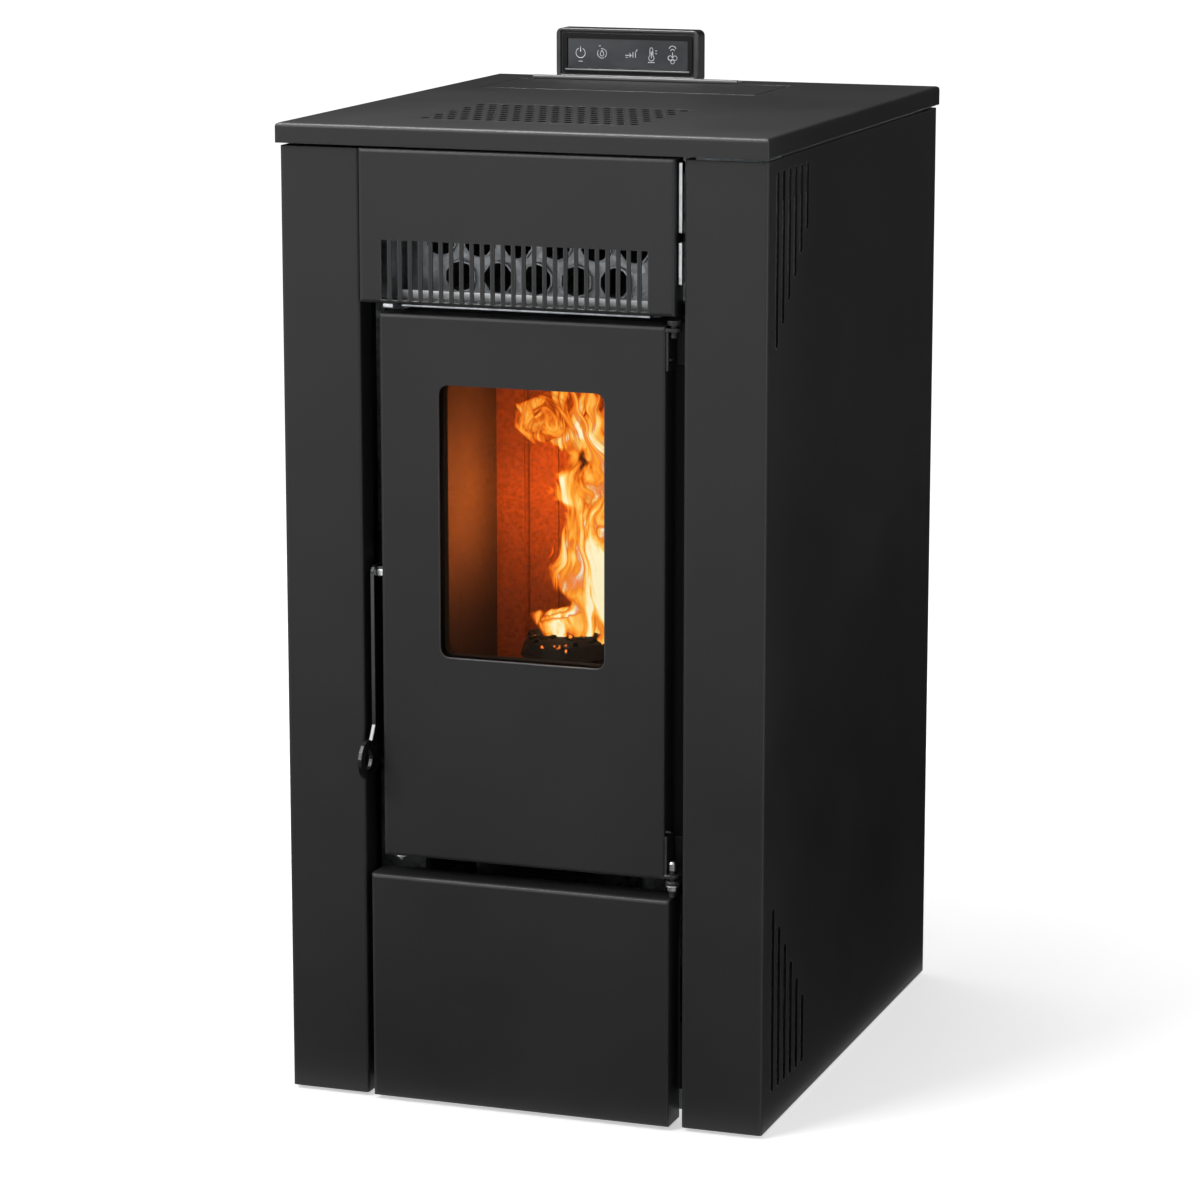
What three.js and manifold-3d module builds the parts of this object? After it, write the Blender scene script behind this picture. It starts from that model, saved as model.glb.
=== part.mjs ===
// A free-standing pellet stove: a folded-sheet casing round a firebox with its door, a tube heat exchanger,
// a pellet hopper with its auger, a smoke fan, a room fan and a display on the top.
// Millimetres, +Z up. The front of the casing faces -Y and +X is the right side seen from the front.
// All places are measured from the middle of the width, the front face of the columns and the floor.
// The finished group is shifted along Y so that its origin lies under the middle of the overall depth.

import * as THREE from 'three';
import * as BufferGeometryUtils from 'three/addons/utils/BufferGeometryUtils.js';
import Module from 'manifold-3d';

const wasm = await Module();
wasm.setup();

// ---------------------------------------------------------------------------------------------
// Driving dimensions
// ---------------------------------------------------------------------------------------------

// Casing
const cabinetWidth = 484;
const cabinetDepth = 590;
const cabinetHeight = 954;
const floorGap = 4;              // from the floor to the lower edges of the casing
const caseSheet = 2;
const ductSheet = 1.5;
const seam = 0.3;                // between pieces that rest on or slide past each other
const bendRadius = 3;
const columnWidth = 80.5;
const columnReturn = 27;
const rearFlange = 16;
const ventCount = 6;             // slots in each of a side's two groups
const ventWidth = 9.5;
const upperVentFront = 30;
const upperVentPitch = 18.9;
const upperVentTop = 921;
const upperVentBottom = 757;     // of the front slot
const upperVentStep = 20;
const lowerVentFront = 34;
const lowerVentPitch = 19.8;
const lowerVentBottom = 37.5;
const lowerVentTop = 220;        // of the front slot
const lowerVentStep = 22.5;
const rearVentLength = 70;
const rearVentWidth = 6;
const rearVentPitch = 14;
const rearVentCount = 9;
const rearVentBottom = 420;
const rearVentX = 100;

// Top cover
const coverLip = 19;
const coverOverhang = 2;
const coverForward = 6;
const coverGap = 3;              // dark joint between the cover's lips and the sides
const railWidth = 14;
const railDrop = 40;
const grilleCentreX = -22;
const grilleFront = 80;
const grilleColumns = 17;
const grilleRows = 9;
const grillePitchX = 13.2;
const grillePitchY = 18.6;
const grilleHoleWidth = 7.6;
const grilleHoleLength = 13.6;
const grilleBorder = 6;
const lidWidth = 295;
const lidDepth = 116;
const lidCentreX = -52;
const lidFront = 425;
const lidSeam = 1.5;
const ledgeWidth = 10;
const lidRimDepth = 14;
const ledgeBond = 5;             // how far the ledge is welded outside the opening
const hingeStripX = -73;
const hingeStripLength = 226;
const hingeStripWidth = 24;
const hingeStripSheet = 1.2;
const hingeBarrel = 2.2;         // radius
const hingeBarrelGap = 2.3;      // from the barrel's axis to the lid's rear edge

// Upper fascia
const fasciaClearance = 9;       // narrower than the gap between the columns
const fasciaHeight = 146;
const fasciaLeftGap = 1.5;
const fasciaCoverGap = 2;
const frontForward = 6;          // fascia and lower panel ahead of the columns
const fasciaReturn = 26;
const slotCount = 26;
const slotPitch = 10.35;
const slotWidth = 6.4;
const slotHeight = 56.5;
const slotBottom = 3.5;          // above the fascia's lower edge
const slotCentreX = -4.5;

// Lower front panel
const lowerPanelClearance = 19;
const lowerPanelHeight = 225;
const lowerPanelCentreX = -2;
const lowerPanelReturn = 36;

// Door
const doorClearance = 37;        // narrower than the gap between the columns
const doorTopGap = 10;           // below the fascia
const doorBottom = 247.5;
const doorCentreX = 0.5;
const doorReturn = 26;
const windowSurround = 60;       // door skin at each side of the window
const windowSill = 200.5;        // door skin below the window
const windowHead = 66;           // and above it
const windowRadius = 9;
const frameMargin = 5;           // door skin beyond the inner frame
const frameReveal = 4;           // inner frame opening beyond the window
const glassRecess = 11;
const glassThickness = 4;
const glassLap = 12;
const glassGasketSize = 3;
const frameDepth = 22;
const clipLap = 6;
const doorGasketSize = 10;
const doorGasketGroove = 4;
const doorGasketMargin = 9;
const lugThickness = 3;
const lugHeight = 40;
const lugDrop = 2;               // from the door's end to the lug's plate
const lugDepth = 20;
const lugLeg = 2;
const hingePin = 3;              // radius
const hingePinY = 6;
const hingePinStand = 12;
const hingeEye = 6.5;            // radius of the lugs and brackets round the pin
const hingeGap = 4.5;            // between a lug and its bracket
const hingeWasher = 1.5;
const bracketSheet = 3;
const bracketLeg = 42;

// Door lever
const leverThickness = 3.5;
const leverWidth = 24;
const leverFrontY = 3;
const leverDoorGap = 9;          // between the lever and the door
const leverTop = 532;
const leverBarBottom = 366;
const leverCorner = 8;
const eyeOuter = 19;             // radius
const eyeHole = 9.5;             // radius
const eyeCentreY = -15;
const eyeCentreZ = 345;
const leverPivotDrop = 8;
const leverBolt = 3;             // radius
const leverNut = 5.5;            // radius
const noseLength = 23;
const noseHeight = 12;
const catchPin = 4;              // radius
const catchClearance = 1.2;      // between the lever's nose and the pin over it
const catchHeight = 46;
const catchWidth = 20;

// Firebox
const fireboxClearance = 22;     // narrower than the door
const fireboxFront = 33;
const fireboxRear = 240;
const fireboxBottom = 262;
const fireboxTopDrop = 11;       // below the fascia
const fireboxPlate = 4;
const flangeClearance = 11;      // narrower than the gap between the columns
const flangeBottom = 253;
const mouthClearance = 72;       // narrower than the door
const mouthBottom = 282;
const mouthTopDrop = 31;         // below the firebox's top
const latchRelief = 6;           // the flange stops short of the lever's nose
const linerThickness = 24;
const linerFrontGap = 5;
const linerTopDrop = 68;         // below the firebox's top
const linerGroovePitch = 36;
const linerGrooveWidth = 6;
const linerGrooveDepth = 4;
const baffleThickness = 8;
const bafflePass = 45;           // smoke way in front of the baffle
const bedHeight = 398;
const bedSheet = 4;
const potRadius = 42;
const potHeight = 66;
const potWall = 3;
const potFlange = 7;
const potRise = 28;              // pot rim above the bed plate
const potCentreX = -8;
const potCentreY = 150;
const potHole = 3;               // radius
const drawerSideGap = 10;
const drawerHeight = 66;
const drawerSheet = 1.5;
const drawerRim = 8;
const standClearance = 14;       // narrower than the firebox
const standFront = 70;
const standRear = 196;
const standSheet = 3;
const standWindowEdge = 30;      // metal left beside the stand's side windows
const standWindowSill = 60;      // and above and below them
const standWindowRadius = 10;

// Heat exchanger and room air
const tubeRadius = 16.5;
const tubeWall = 2;
const tubePitch = 39;
const tubeRowRise = 34;
const upperTubes = 6;
const tubeSheetFront = 62;
const exchangerClearance = 20;   // narrower than the firebox
const exchangerHeight = 100;
const tubeStub = 4;
const plenumWidth = 268;
const plenumSheet = 1;
const plenumFlangeHeight = 118;
const plenumNotch = 8;
const airDuctDepth = 40;
const airDuctClearance = 14;     // narrower than the firebox
const airDuctBottom = 300;
const roomFanRadius = 32;
const roomFanLength = 196;
const roomFanBlades = 18;
const roomFanHousingHeight = 96;
const roomFanHousingDepth = 92;
const roomFanMotorRadius = 30;
const roomFanMotorLength = 42;

// Fuel path
const hopperClearance = 47;      // from the side panels
const hopperSheet = 1.5;
const hopperFront = 300;
const hopperRear = 560;
const hopperShoulder = 700;
const throatTop = 550;
const throatWidth = 56;
const throatDepth = 50;
const throatFlange = 12;
const throatDrop = 170;          // from the auger's mouth to the throat, along the auger
const guardSheet = 2;
const guardSlots = 11;
const guardBar = 9;
const augerTilt = 45;            // degrees above the horizontal, rising to the front
const augerTubeRadius = 30;
const augerTubeWall = 2;
const augerRadius = 25;
const augerShaft = 8;            // radius
const augerPitch = 44;
const augerBlade = 3;
const augerLength = 228;
const augerMouthZ = 585;
const gearmotorRadius = 34;
const gearmotorLength = 62;

// Smoke path
const smokeDuctWidth = 48;
const smokeDuctFront = 104;
const smokeDuctRear = 200;
const smokeDuctGap = 8;          // from the duct to the firebox
const smokeDuctBottom = 70;
const smokeDuctTopDrop = 14;     // below the heat exchanger's top
const smokeFanZ = 132;
const smokeFanRadius = 44;
const smokeFanDepth = 46;
const smokeFanBlades = 10;
const scrollGrowth = 16;
const smokeFanEye = 20;          // radius
const smokeMotorRadius = 36;
const smokeMotorLength = 58;
const flueX = -70;
const flueRadius = 40;
const flueWall = 2;
const flueStub = 45;
const airPipeX = 92;
const airPipeZ = 112;
const airPipeRadius = 24;
const airPipeWall = 2;
const airPipeStub = 30;
const airPipeBend = 50;
const igniterRadius = 5;
const igniterZ = 385;

// Services
const boardWidth = 150;
const boardHeight = 110;
const boardSheet = 2;
const boardStand = 8;
const boardRear = 500;
const boardBottom = 240;
const boardEdge = 8;             // from the board's edge to its pillars
const transformerSize = [40, 36, 28];
const terminalSize = [64, 12, 12];
const relaySize = [20, 28, 16];
const capacitorRadius = 6;
const capacitorHeight = 22;
const capacitorPitch = 16;
const igniterTail = 40;
const igniterHolder = 12;
const socketWidth = 62;
const socketHeight = 28;
const socketX = 176;
const socketZ = 92;
const socketDepth = 22;
const rockerWidth = 19;
const rockerHeight = 13;
const rockerTravel = 12;         // degrees
const footRadius = 18;
const footDisc = 5;
const footCollar = 9;            // radius
const footStud = 4;              // radius
const footStudLength = 20;
const footInset = 38;
const footFrontY = 72;
const footRearY = 530;
const trayHeight = 12;           // underside above the floor
const trayFlange = 20;

// Display
const displayWidth = 158;
const displayHeight = 52;
const displayDepth = 21;
const displayCentreX = -90;
const displayRadius = 6;
const displayRim = 3;
const screenWidth = 134;
const screenHeight = 31;
const screenThickness = 2;

// ---------------------------------------------------------------------------------------------
// Shape helpers
// ---------------------------------------------------------------------------------------------

const roundSides = 16;
const smallSides = 10;
const tubeSides = 10;
const overcut = 1;               // how far a cutting solid runs past the face that it cuts

// A closed solid for joining and cutting, from any closed geometry.
function solidOf(geometry) {
  const plain = geometry.clone();
  plain.deleteAttribute('normal');
  plain.deleteAttribute('uv');
  const merged = BufferGeometryUtils.mergeVertices(plain, 1e-4);
  return new wasm.Manifold(new wasm.Mesh({
    numProp: 3,
    vertProperties: new Float32Array(merged.attributes.position.array),
    triVerts: new Uint32Array(merged.index.array),
  }));
}

function box(x0, x1, y0, y1, z0, z1) {
  const geometry = new THREE.BoxGeometry(x1 - x0, y1 - y0, z1 - z0);
  geometry.translate((x0 + x1) / 2, (y0 + y1) / 2, (z0 + z1) / 2);
  return solidOf(geometry);
}

// The quarter-round corner of an outline, from one direction to the next.
function corner(u, v, radius, startDegrees) {
  if (radius <= 0) {
    return [[u, v]];
  }
  const points = [];
  const steps = radius > 5 ? 4 : 2;
  for (let i = 0; i <= steps; i += 1) {
    const angle = THREE.MathUtils.degToRad(startDegrees + (90 * i) / steps);
    points.push([u + radius * Math.cos(angle), v + radius * Math.sin(angle)]);
  }
  return points;
}

// A rectangle with its own radius at each corner, from the low corner anticlockwise.
function rounded(u0, u1, v0, v1, radii) {
  const [lowLow, highLow, highHigh, lowHigh] = radii;
  return [
    ...corner(u0 + lowLow, v0 + lowLow, lowLow, 180),
    ...corner(u1 - highLow, v0 + highLow, highLow, 270),
    ...corner(u1 - highHigh, v1 - highHigh, highHigh, 0),
    ...corner(u0 + lowHigh, v1 - lowHigh, lowHigh, 90),
  ];
}

function roundedAll(u0, u1, v0, v1, radius) {
  return rounded(u0, u1, v0, v1, [radius, radius, radius, radius]);
}

function circle(u, v, radius, sides) {
  const points = [];
  for (let i = 0; i < sides; i += 1) {
    const angle = (2 * Math.PI * (i + 0.5)) / sides;
    points.push([u + radius * Math.cos(angle), v + radius * Math.sin(angle)]);
  }
  return points;
}

// An outline pushed along X, Y or Z. Its own (u, v) are (y, z), (x, z) or (x, y).
function prism(points, along, from, to) {
  const shape = new THREE.Shape(points.map(([u, v]) => new THREE.Vector2(u, v)));
  const geometry = new THREE.ExtrudeGeometry(shape, { depth: to - from, bevelEnabled: false });
  if (along === 'z') {
    geometry.translate(0, 0, from);
  }
  if (along === 'y') {
    geometry.rotateX(Math.PI / 2);
    geometry.translate(0, to, 0);
  }
  if (along === 'x') {
    const basis = new THREE.Matrix4().makeBasis(
      new THREE.Vector3(0, 1, 0), new THREE.Vector3(0, 0, 1), new THREE.Vector3(1, 0, 0));
    geometry.applyMatrix4(basis);
    geometry.translate(from, 0, 0);
  }
  return solidOf(geometry);
}

function rod(along, u, v, radius, from, to, sides = smallSides) {
  return prism(circle(u, v, radius, sides), along, from, to);
}

function tube(along, u, v, radius, wall, from, to, sides = roundSides) {
  const bore = rod(along, u, v, radius - wall, from - overcut, to + overcut, sides);
  return rod(along, u, v, radius, from, to, sides).subtract(bore);
}

function joined(solids) {
  return solids.reduce((whole, solid) => whole.add(solid));
}

function cut(solid, cutters) {
  return cutters.reduce((rest, cutter) => rest.subtract(cutter), solid);
}

// A block whose four edges round its front or its top are bent corners.
function bentBlock(x0, x1, y0, y1, z0, z1, face, radius) {
  if (face === 'front') {
    const plan = prism(rounded(x0, x1, y0, y1, [radius, radius, 0, 0]), 'z', z0, z1);
    return plan.intersect(prism(rounded(y0, y1, z0, z1, [radius, 0, 0, radius]), 'x', x0, x1));
  }
  const front = prism(rounded(x0, x1, z0, z1, [0, 0, radius, radius]), 'y', y0, y1);
  return front.intersect(prism(rounded(y0, y1, z0, z1, [0, 0, radius, radius]), 'x', x0, x1));
}

// A folded pan: a face with a return on all four sides, open behind or below.
function pan(x0, x1, y0, y1, z0, z1, face, sheet) {
  const outer = bentBlock(x0, x1, y0, y1, z0, z1, face, bendRadius);
  const innerRadius = bendRadius - sheet;
  const inner = face === 'front'
    ? bentBlock(x0 + sheet, x1 - sheet, y0 + sheet, y1 + overcut, z0 + sheet, z1 - sheet, face, innerRadius)
    : bentBlock(x0 + sheet, x1 - sheet, y0 + sheet, y1 - sheet, z0 - overcut, z1 - sheet, face, innerRadius);
  return outer.subtract(inner);
}

// A box of sheet with all its walls, whose open sides are cut away by the boxes given.
function hollowBox(x0, x1, y0, y1, z0, z1, sheet) {
  const inside = box(x0 + sheet, x1 - sheet, y0 + sheet, y1 - sheet, z0 + sheet, z1 - sheet);
  return box(x0, x1, y0, y1, z0, z1).subtract(inside);
}

// ---------------------------------------------------------------------------------------------
// Finishes
// ---------------------------------------------------------------------------------------------

function finish(color, roughness, metalness) {
  return new THREE.MeshStandardMaterial({ color, roughness, metalness });
}

const blackPowder = finish(0x3a3a3b, 0.5, 0.2);
const blackEnamel = finish(0x161617, 0.3, 0.3);
const galvanised = finish(0xaab0b4, 0.35, 0.9);
const brightSteel = finish(0xc4c6c8, 0.25, 1);
const heatPaint = finish(0x232324, 0.75, 0.3);
const castIron = finish(0x2e2c2a, 0.8, 0.5);
const vermiculite = finish(0x9a8262, 0.95, 0);
const ceramicGlass = new THREE.MeshStandardMaterial({
  color: 0x3b2c1e, roughness: 0.08, metalness: 0, transparent: true, opacity: 0.35,
});
const rope = finish(0x4a4a48, 1, 0);
const blackPlastic = finish(0x141416, 0.4, 0);
const displayGlass = finish(0x25282c, 0.1, 0);
const circuitGreen = finish(0x1f5a36, 0.6, 0);

const stove = new THREE.Group();

function piece(name, solid, material) {
  const mesh = solid.getMesh();
  const geometry = new THREE.BufferGeometry();
  geometry.setAttribute('position', new THREE.BufferAttribute(new Float32Array(mesh.vertProperties), 3));
  geometry.setIndex(new THREE.BufferAttribute(new Uint32Array(mesh.triVerts), 1));
  geometry.computeVertexNormals();
  const node = new THREE.Mesh(geometry, material);
  node.name = name;
  stove.add(node);
}

// ---------------------------------------------------------------------------------------------
// Levels and faces that several pieces share
// ---------------------------------------------------------------------------------------------

const halfWidth = cabinetWidth / 2;
const columnInner = halfWidth - columnWidth;
const frontOpening = 2 * columnInner;
const fasciaWidth = frontOpening - fasciaClearance;
const lowerPanelWidth = frontOpening - lowerPanelClearance;
const doorWidth = frontOpening - doorClearance;
const windowWidth = doorWidth - 2 * windowSurround;
const flangeHalf = (frontOpening - flangeClearance) / 2;
const fasciaTop = cabinetHeight - coverLip - fasciaCoverGap;
const fasciaBottom = fasciaTop - fasciaHeight;
const doorHeight = fasciaBottom - doorTopGap - doorBottom;
const windowBottom = doorBottom + windowSill;
const windowHeight = doorHeight - windowSill - windowHead;
const fireboxWidth = doorWidth - fireboxClearance;
const mouthWidth = doorWidth - mouthClearance;
const standWidth = fireboxWidth - standClearance;
const exchangerWidth = fireboxWidth - exchangerClearance;
const airDuctWidth = fireboxWidth - airDuctClearance;
const hopperWidth = cabinetWidth - 2 * hopperClearance;
const fireboxTop = fasciaBottom - fireboxTopDrop;
const linerTop = fireboxTop - linerTopDrop;
const mouthTop = fireboxTop - mouthTopDrop;
const coverUnder = cabinetHeight - caseSheet;
const sideTop = cabinetHeight - coverLip - coverGap;
const trayFront = lowerPanelReturn - frontForward + seam;
const rearPanelFront = cabinetDepth - caseSheet - seam - ductSheet;
const trayRear = rearPanelFront - seam;
const trayTop = trayHeight + caseSheet;
const trayHalf = halfWidth - caseSheet - seam;

// ---------------------------------------------------------------------------------------------
// Base tray and levelling feet
// ---------------------------------------------------------------------------------------------

const footX = halfWidth - footInset;
const footPlaces = {
  foot_front_left: [-footX, footFrontY],
  foot_front_right: [footX, footFrontY],
  foot_rear_left: [-footX, footRearY],
  foot_rear_right: [footX, footRearY],
};

function makeBaseTray() {
  const edge = trayHeight + trayFlange;
  const tray = hollowBox(-trayHalf, trayHalf, trayFront, trayRear, trayHeight, edge + caseSheet, caseSheet);
  const opening = box(-trayHalf - 1, trayHalf + 1, trayFront - 1, trayRear + 1, edge, edge + caseSheet + 1);
  const studHoles = Object.values(footPlaces).map(
    ([x, y]) => rod('z', x, y, footStud + seam, trayHeight - overcut, trayTop + overcut));
  piece('base_tray', cut(tray, [opening, ...studHoles]), galvanised);
}

function makeFeet() {
  for (const [name, [x, y]] of Object.entries(footPlaces)) {
    const profile = [
      [0, 0], [footRadius, 0], [footRadius, footDisc], [footCollar, footDisc], [footCollar, trayHeight],
      [footStud, trayHeight], [footStud, trayHeight + footStudLength], [0, trayHeight + footStudLength],
    ];
    const geometry = new THREE.LatheGeometry(profile.map(([r, z]) => new THREE.Vector2(r, z)), smallSides);
    geometry.rotateX(Math.PI / 2);
    geometry.translate(x, y, 0);
    piece(name, solidOf(geometry), blackPlastic);
  }
}

makeBaseTray();
makeFeet();

// ---------------------------------------------------------------------------------------------
// Side panels: one sheet each, folded round the front into a column and back into the casing
// ---------------------------------------------------------------------------------------------

// A bent strip of sheet. The path is its outer face, and every bend turns towards the sheet.
function bentSheet(path, sheet, radius) {
  const points = path.map(([u, v]) => new THREE.Vector2(u, v));
  const directions = points.slice(1).map((point, i) => point.clone().sub(points[i]).normalize());
  const turn = Math.sign(directions[0].cross(directions[1]));
  const inward = directions.map((d) => new THREE.Vector2(-d.y, d.x).multiplyScalar(turn));
  const outerFace = [points[0]];
  const innerFace = [points[0].clone().addScaledVector(inward[0], sheet)];
  const steps = 2;
  for (let i = 1; i < points.length - 1; i += 1) {
    const centre = points[i].clone()
      .addScaledVector(directions[i - 1], -radius)
      .addScaledVector(inward[i - 1], radius);
    for (let step = 0; step <= steps; step += 1) {
      const angle = (turn * step * Math.PI) / (2 * steps);
      const spoke = inward[i - 1].clone().negate().rotateAround(new THREE.Vector2(), angle);
      outerFace.push(centre.clone().addScaledVector(spoke, radius));
      innerFace.push(centre.clone().addScaledVector(spoke, radius - sheet));
    }
  }
  const last = points.length - 1;
  outerFace.push(points[last]);
  innerFace.push(points[last].clone().addScaledVector(inward[last - 1], sheet));
  return [...outerFace, ...innerFace.reverse()].map((point) => [point.x, point.y]);
}

// The two groups of upright slots in a side, stepped shorter towards the back.
function sideVents() {
  const slots = [];
  const round = ventWidth / 2;
  for (let i = 0; i < ventCount; i += 1) {
    const upperY = upperVentFront + i * upperVentPitch;
    const upperBottom = upperVentBottom + i * upperVentStep;
    slots.push(roundedAll(upperY - round, upperY + round, upperBottom, upperVentTop, round));
    const lowerY = lowerVentFront + i * lowerVentPitch;
    const lowerTop = lowerVentTop - i * lowerVentStep;
    slots.push(roundedAll(lowerY - round, lowerY + round, lowerVentBottom, lowerTop, round));
  }
  return slots;
}

function makeSidePanel(name, side) {
  const path = [
    [halfWidth - rearFlange, cabinetDepth],
    [halfWidth, cabinetDepth],
    [halfWidth, 0],
    [columnInner, 0],
    [columnInner, columnReturn],
  ].map(([x, y]) => [side * x, y]);
  const sheet = prism(bentSheet(path, caseSheet, bendRadius), 'z', floorGap, sideTop);
  const wall = [side * (halfWidth - caseSheet), side * (halfWidth + overcut)].sort((a, b) => a - b);
  const vents = sideVents().map((slot) => prism(slot, 'x', wall[0] - overcut, wall[1]));
  const railOuter = side * (halfWidth - caseSheet);
  const railInner = side * (halfWidth - 2 * caseSheet);
  const railEdge = side * (halfWidth - caseSheet - railWidth);
  const weld = side * (halfWidth - caseSheet / 2);
  const railFront = columnReturn * 2;
  const railRear = cabinetDepth - columnReturn * 2;
  const railWeb = sideBox(railInner, railOuter, railFront, railRear, sideTop - railDrop, coverUnder);
  const railWeld = sideBox(railInner, weld, railFront, railRear, sideTop - railDrop, sideTop - railDrop / 2);
  const railTop = sideBox(railEdge, railOuter, railFront, railRear, coverUnder - caseSheet, coverUnder);
  piece(name, joined([cut(sheet, vents), railWeb, railWeld, railTop]), blackPowder);
}

// A box given by two X values in either order.
function sideBox(xa, xb, y0, y1, z0, z1) {
  return box(Math.min(xa, xb), Math.max(xa, xb), y0, y1, z0, z1);
}

makeSidePanel('side_panel_left', -1);
makeSidePanel('side_panel_right', 1);

// ---------------------------------------------------------------------------------------------
// Rear panel
// ---------------------------------------------------------------------------------------------

function makeRearPanel() {
  const rear = rearPanelFront + ductSheet;
  const plate = box(-trayHalf, trayHalf, rearPanelFront, rear, floorGap, sideTop);
  const holes = [
    rod('y', flueX, smokeFanZ, flueRadius + seam, rearPanelFront - overcut, rear + overcut, roundSides),
    rod('y', airPipeX, airPipeZ, airPipeRadius + seam, rearPanelFront - overcut, rear + overcut),
    box(socketX - socketWidth / 2 - seam, socketX + socketWidth / 2 + seam,
      rearPanelFront - overcut, rear + overcut,
      socketZ - socketHeight / 2 - seam, socketZ + socketHeight / 2 + seam),
  ];
  for (const side of [-1, 1]) {
    for (let i = 0; i < rearVentCount; i += 1) {
      const z = rearVentBottom + i * rearVentPitch;
      holes.push(box(side * rearVentX - rearVentLength / 2, side * rearVentX + rearVentLength / 2,
        rearPanelFront - overcut, rear + overcut, z, z + rearVentWidth));
    }
  }
  piece('rear_panel', cut(plate, holes), galvanised);
}

makeRearPanel();

// ---------------------------------------------------------------------------------------------
// Top cover, its perforated grille, the hopper lid and the lid's hinge strip
// ---------------------------------------------------------------------------------------------

const grilleSpanX = (grilleColumns - 1) * grillePitchX + grilleHoleWidth;
const grilleSpanY = (grilleRows - 1) * grillePitchY + grilleHoleLength;
const grilleX0 = grilleCentreX - grilleSpanX / 2 - grilleBorder;
const grilleX1 = grilleCentreX + grilleSpanX / 2 + grilleBorder;
const grilleY0 = grilleFront - grilleBorder;
const grilleY1 = grilleFront + grilleSpanY + grilleBorder;
const lidX0 = lidCentreX - lidWidth / 2;
const lidX1 = lidCentreX + lidWidth / 2;
const lidRear = lidFront + lidDepth;
const hingeAxisY = lidRear + hingeBarrelGap;
const hingeAxisZ = cabinetHeight + 1;

function makeTopCover() {
  const cover = pan(-halfWidth - coverOverhang, halfWidth + coverOverhang, -coverForward,
    cabinetDepth + coverOverhang, cabinetHeight - coverLip, cabinetHeight, 'top', caseSheet);
  const grilleOpening = box(grilleX0, grilleX1, grilleY0, grilleY1, coverUnder - 1, cabinetHeight + 1);
  const openX0 = lidX0 - lidSeam;
  const openX1 = lidX1 + lidSeam;
  const openY0 = lidFront - lidSeam;
  const openY1 = lidRear + lidSeam;
  const ledgeTop = coverUnder - seam;
  const ledge = box(openX0 - ledgeBond, openX1 + ledgeBond, openY0 - ledgeBond, openY1 + ledgeBond,
    ledgeTop - caseSheet, coverUnder + 0.5);
  const lidOpening = box(openX0, openX1, openY0, openY1, ledgeTop, cabinetHeight + 1);
  const mouth = box(openX0 + ledgeWidth, openX1 - ledgeWidth, openY0 + ledgeWidth, openY1 - ledgeWidth,
    ledgeTop - 5, ledgeTop + 1);
  piece('top_cover', cut(cover.add(ledge), [grilleOpening, lidOpening, mouth]), blackPowder);
}

function makeTopGrille() {
  const plate = box(grilleX0, grilleX1, grilleY0, grilleY1, coverUnder, cabinetHeight);
  const holes = [];
  const halfWide = grilleHoleWidth / 2;
  const shoulder = grilleHoleLength / 2 - halfWide / 2;
  for (let row = 0; row < grilleRows; row += 1) {
    const shifted = row % 2 === 1;
    const count = grilleColumns - (shifted ? 1 : 0);
    const y = grilleFront + grilleHoleLength / 2 + row * grillePitchY;
    for (let column = 0; column < count; column += 1) {
      const x = grilleCentreX + (column - (count - 1) / 2) * grillePitchX;
      const hole = [
        [x - halfWide, y - shoulder], [x, y - grilleHoleLength / 2], [x + halfWide, y - shoulder],
        [x + halfWide, y + shoulder], [x, y + grilleHoleLength / 2], [x - halfWide, y + shoulder],
      ];
      holes.push(prism(hole, 'z', coverUnder - overcut, cabinetHeight + overcut));
    }
  }
  piece('top_grille', cut(plate, holes), blackPowder);
}

function makeHopperLid() {
  const plate = box(lidX0, lidX1, lidFront, lidRear, coverUnder, cabinetHeight);
  const rimInset = ledgeWidth + lidSeam;
  const rimTop = coverUnder + 0.5;
  const rimBottom = coverUnder - lidRimDepth;
  const rim = box(lidX0 + rimInset, lidX1 - rimInset, lidFront + rimInset, lidRear - rimInset * 2,
    rimBottom, rimTop);
  const hollow = box(lidX0 + rimInset + caseSheet, lidX1 - rimInset - caseSheet,
    lidFront + rimInset + caseSheet, lidRear - rimInset * 2 - caseSheet, rimBottom - 1, coverUnder);
  piece('hopper_lid', plate.add(rim.subtract(hollow)), blackPowder);
}

function makeLidHinge() {
  const x0 = hingeStripX - hingeStripLength / 2;
  const x1 = x0 + hingeStripLength;
  const barrel = rod('x', hingeAxisY, hingeAxisZ + hingeBarrel - 1, hingeBarrel, x0, x1);
  const leaf = box(x0, x1, hingeAxisY, hingeAxisY + hingeStripWidth, cabinetHeight,
    cabinetHeight + hingeStripSheet);
  piece('lid_hinge', barrel.add(leaf), brightSteel);
}

makeTopCover();
makeTopGrille();
makeHopperLid();
makeLidHinge();

// ---------------------------------------------------------------------------------------------
// Upper fascia and lower front panel
// ---------------------------------------------------------------------------------------------

const fasciaX0 = -columnInner + fasciaLeftGap;
const fasciaX1 = fasciaX0 + fasciaWidth;
const slotZ0 = fasciaBottom + slotBottom;
const slotZ1 = slotZ0 + slotHeight;

function makeFascia() {
  const body = pan(fasciaX0, fasciaX1, -frontForward, -frontForward + fasciaReturn,
    fasciaBottom, fasciaTop, 'front', caseSheet);
  const slots = [];
  for (let i = 0; i < slotCount; i += 1) {
    const x = slotCentreX + (i - (slotCount - 1) / 2) * slotPitch;
    slots.push(box(x - slotWidth / 2, x + slotWidth / 2, -frontForward - 1, -frontForward + caseSheet + 1,
      slotZ0, slotZ1));
  }
  piece('upper_fascia', cut(body, slots), blackPowder);
}

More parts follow.
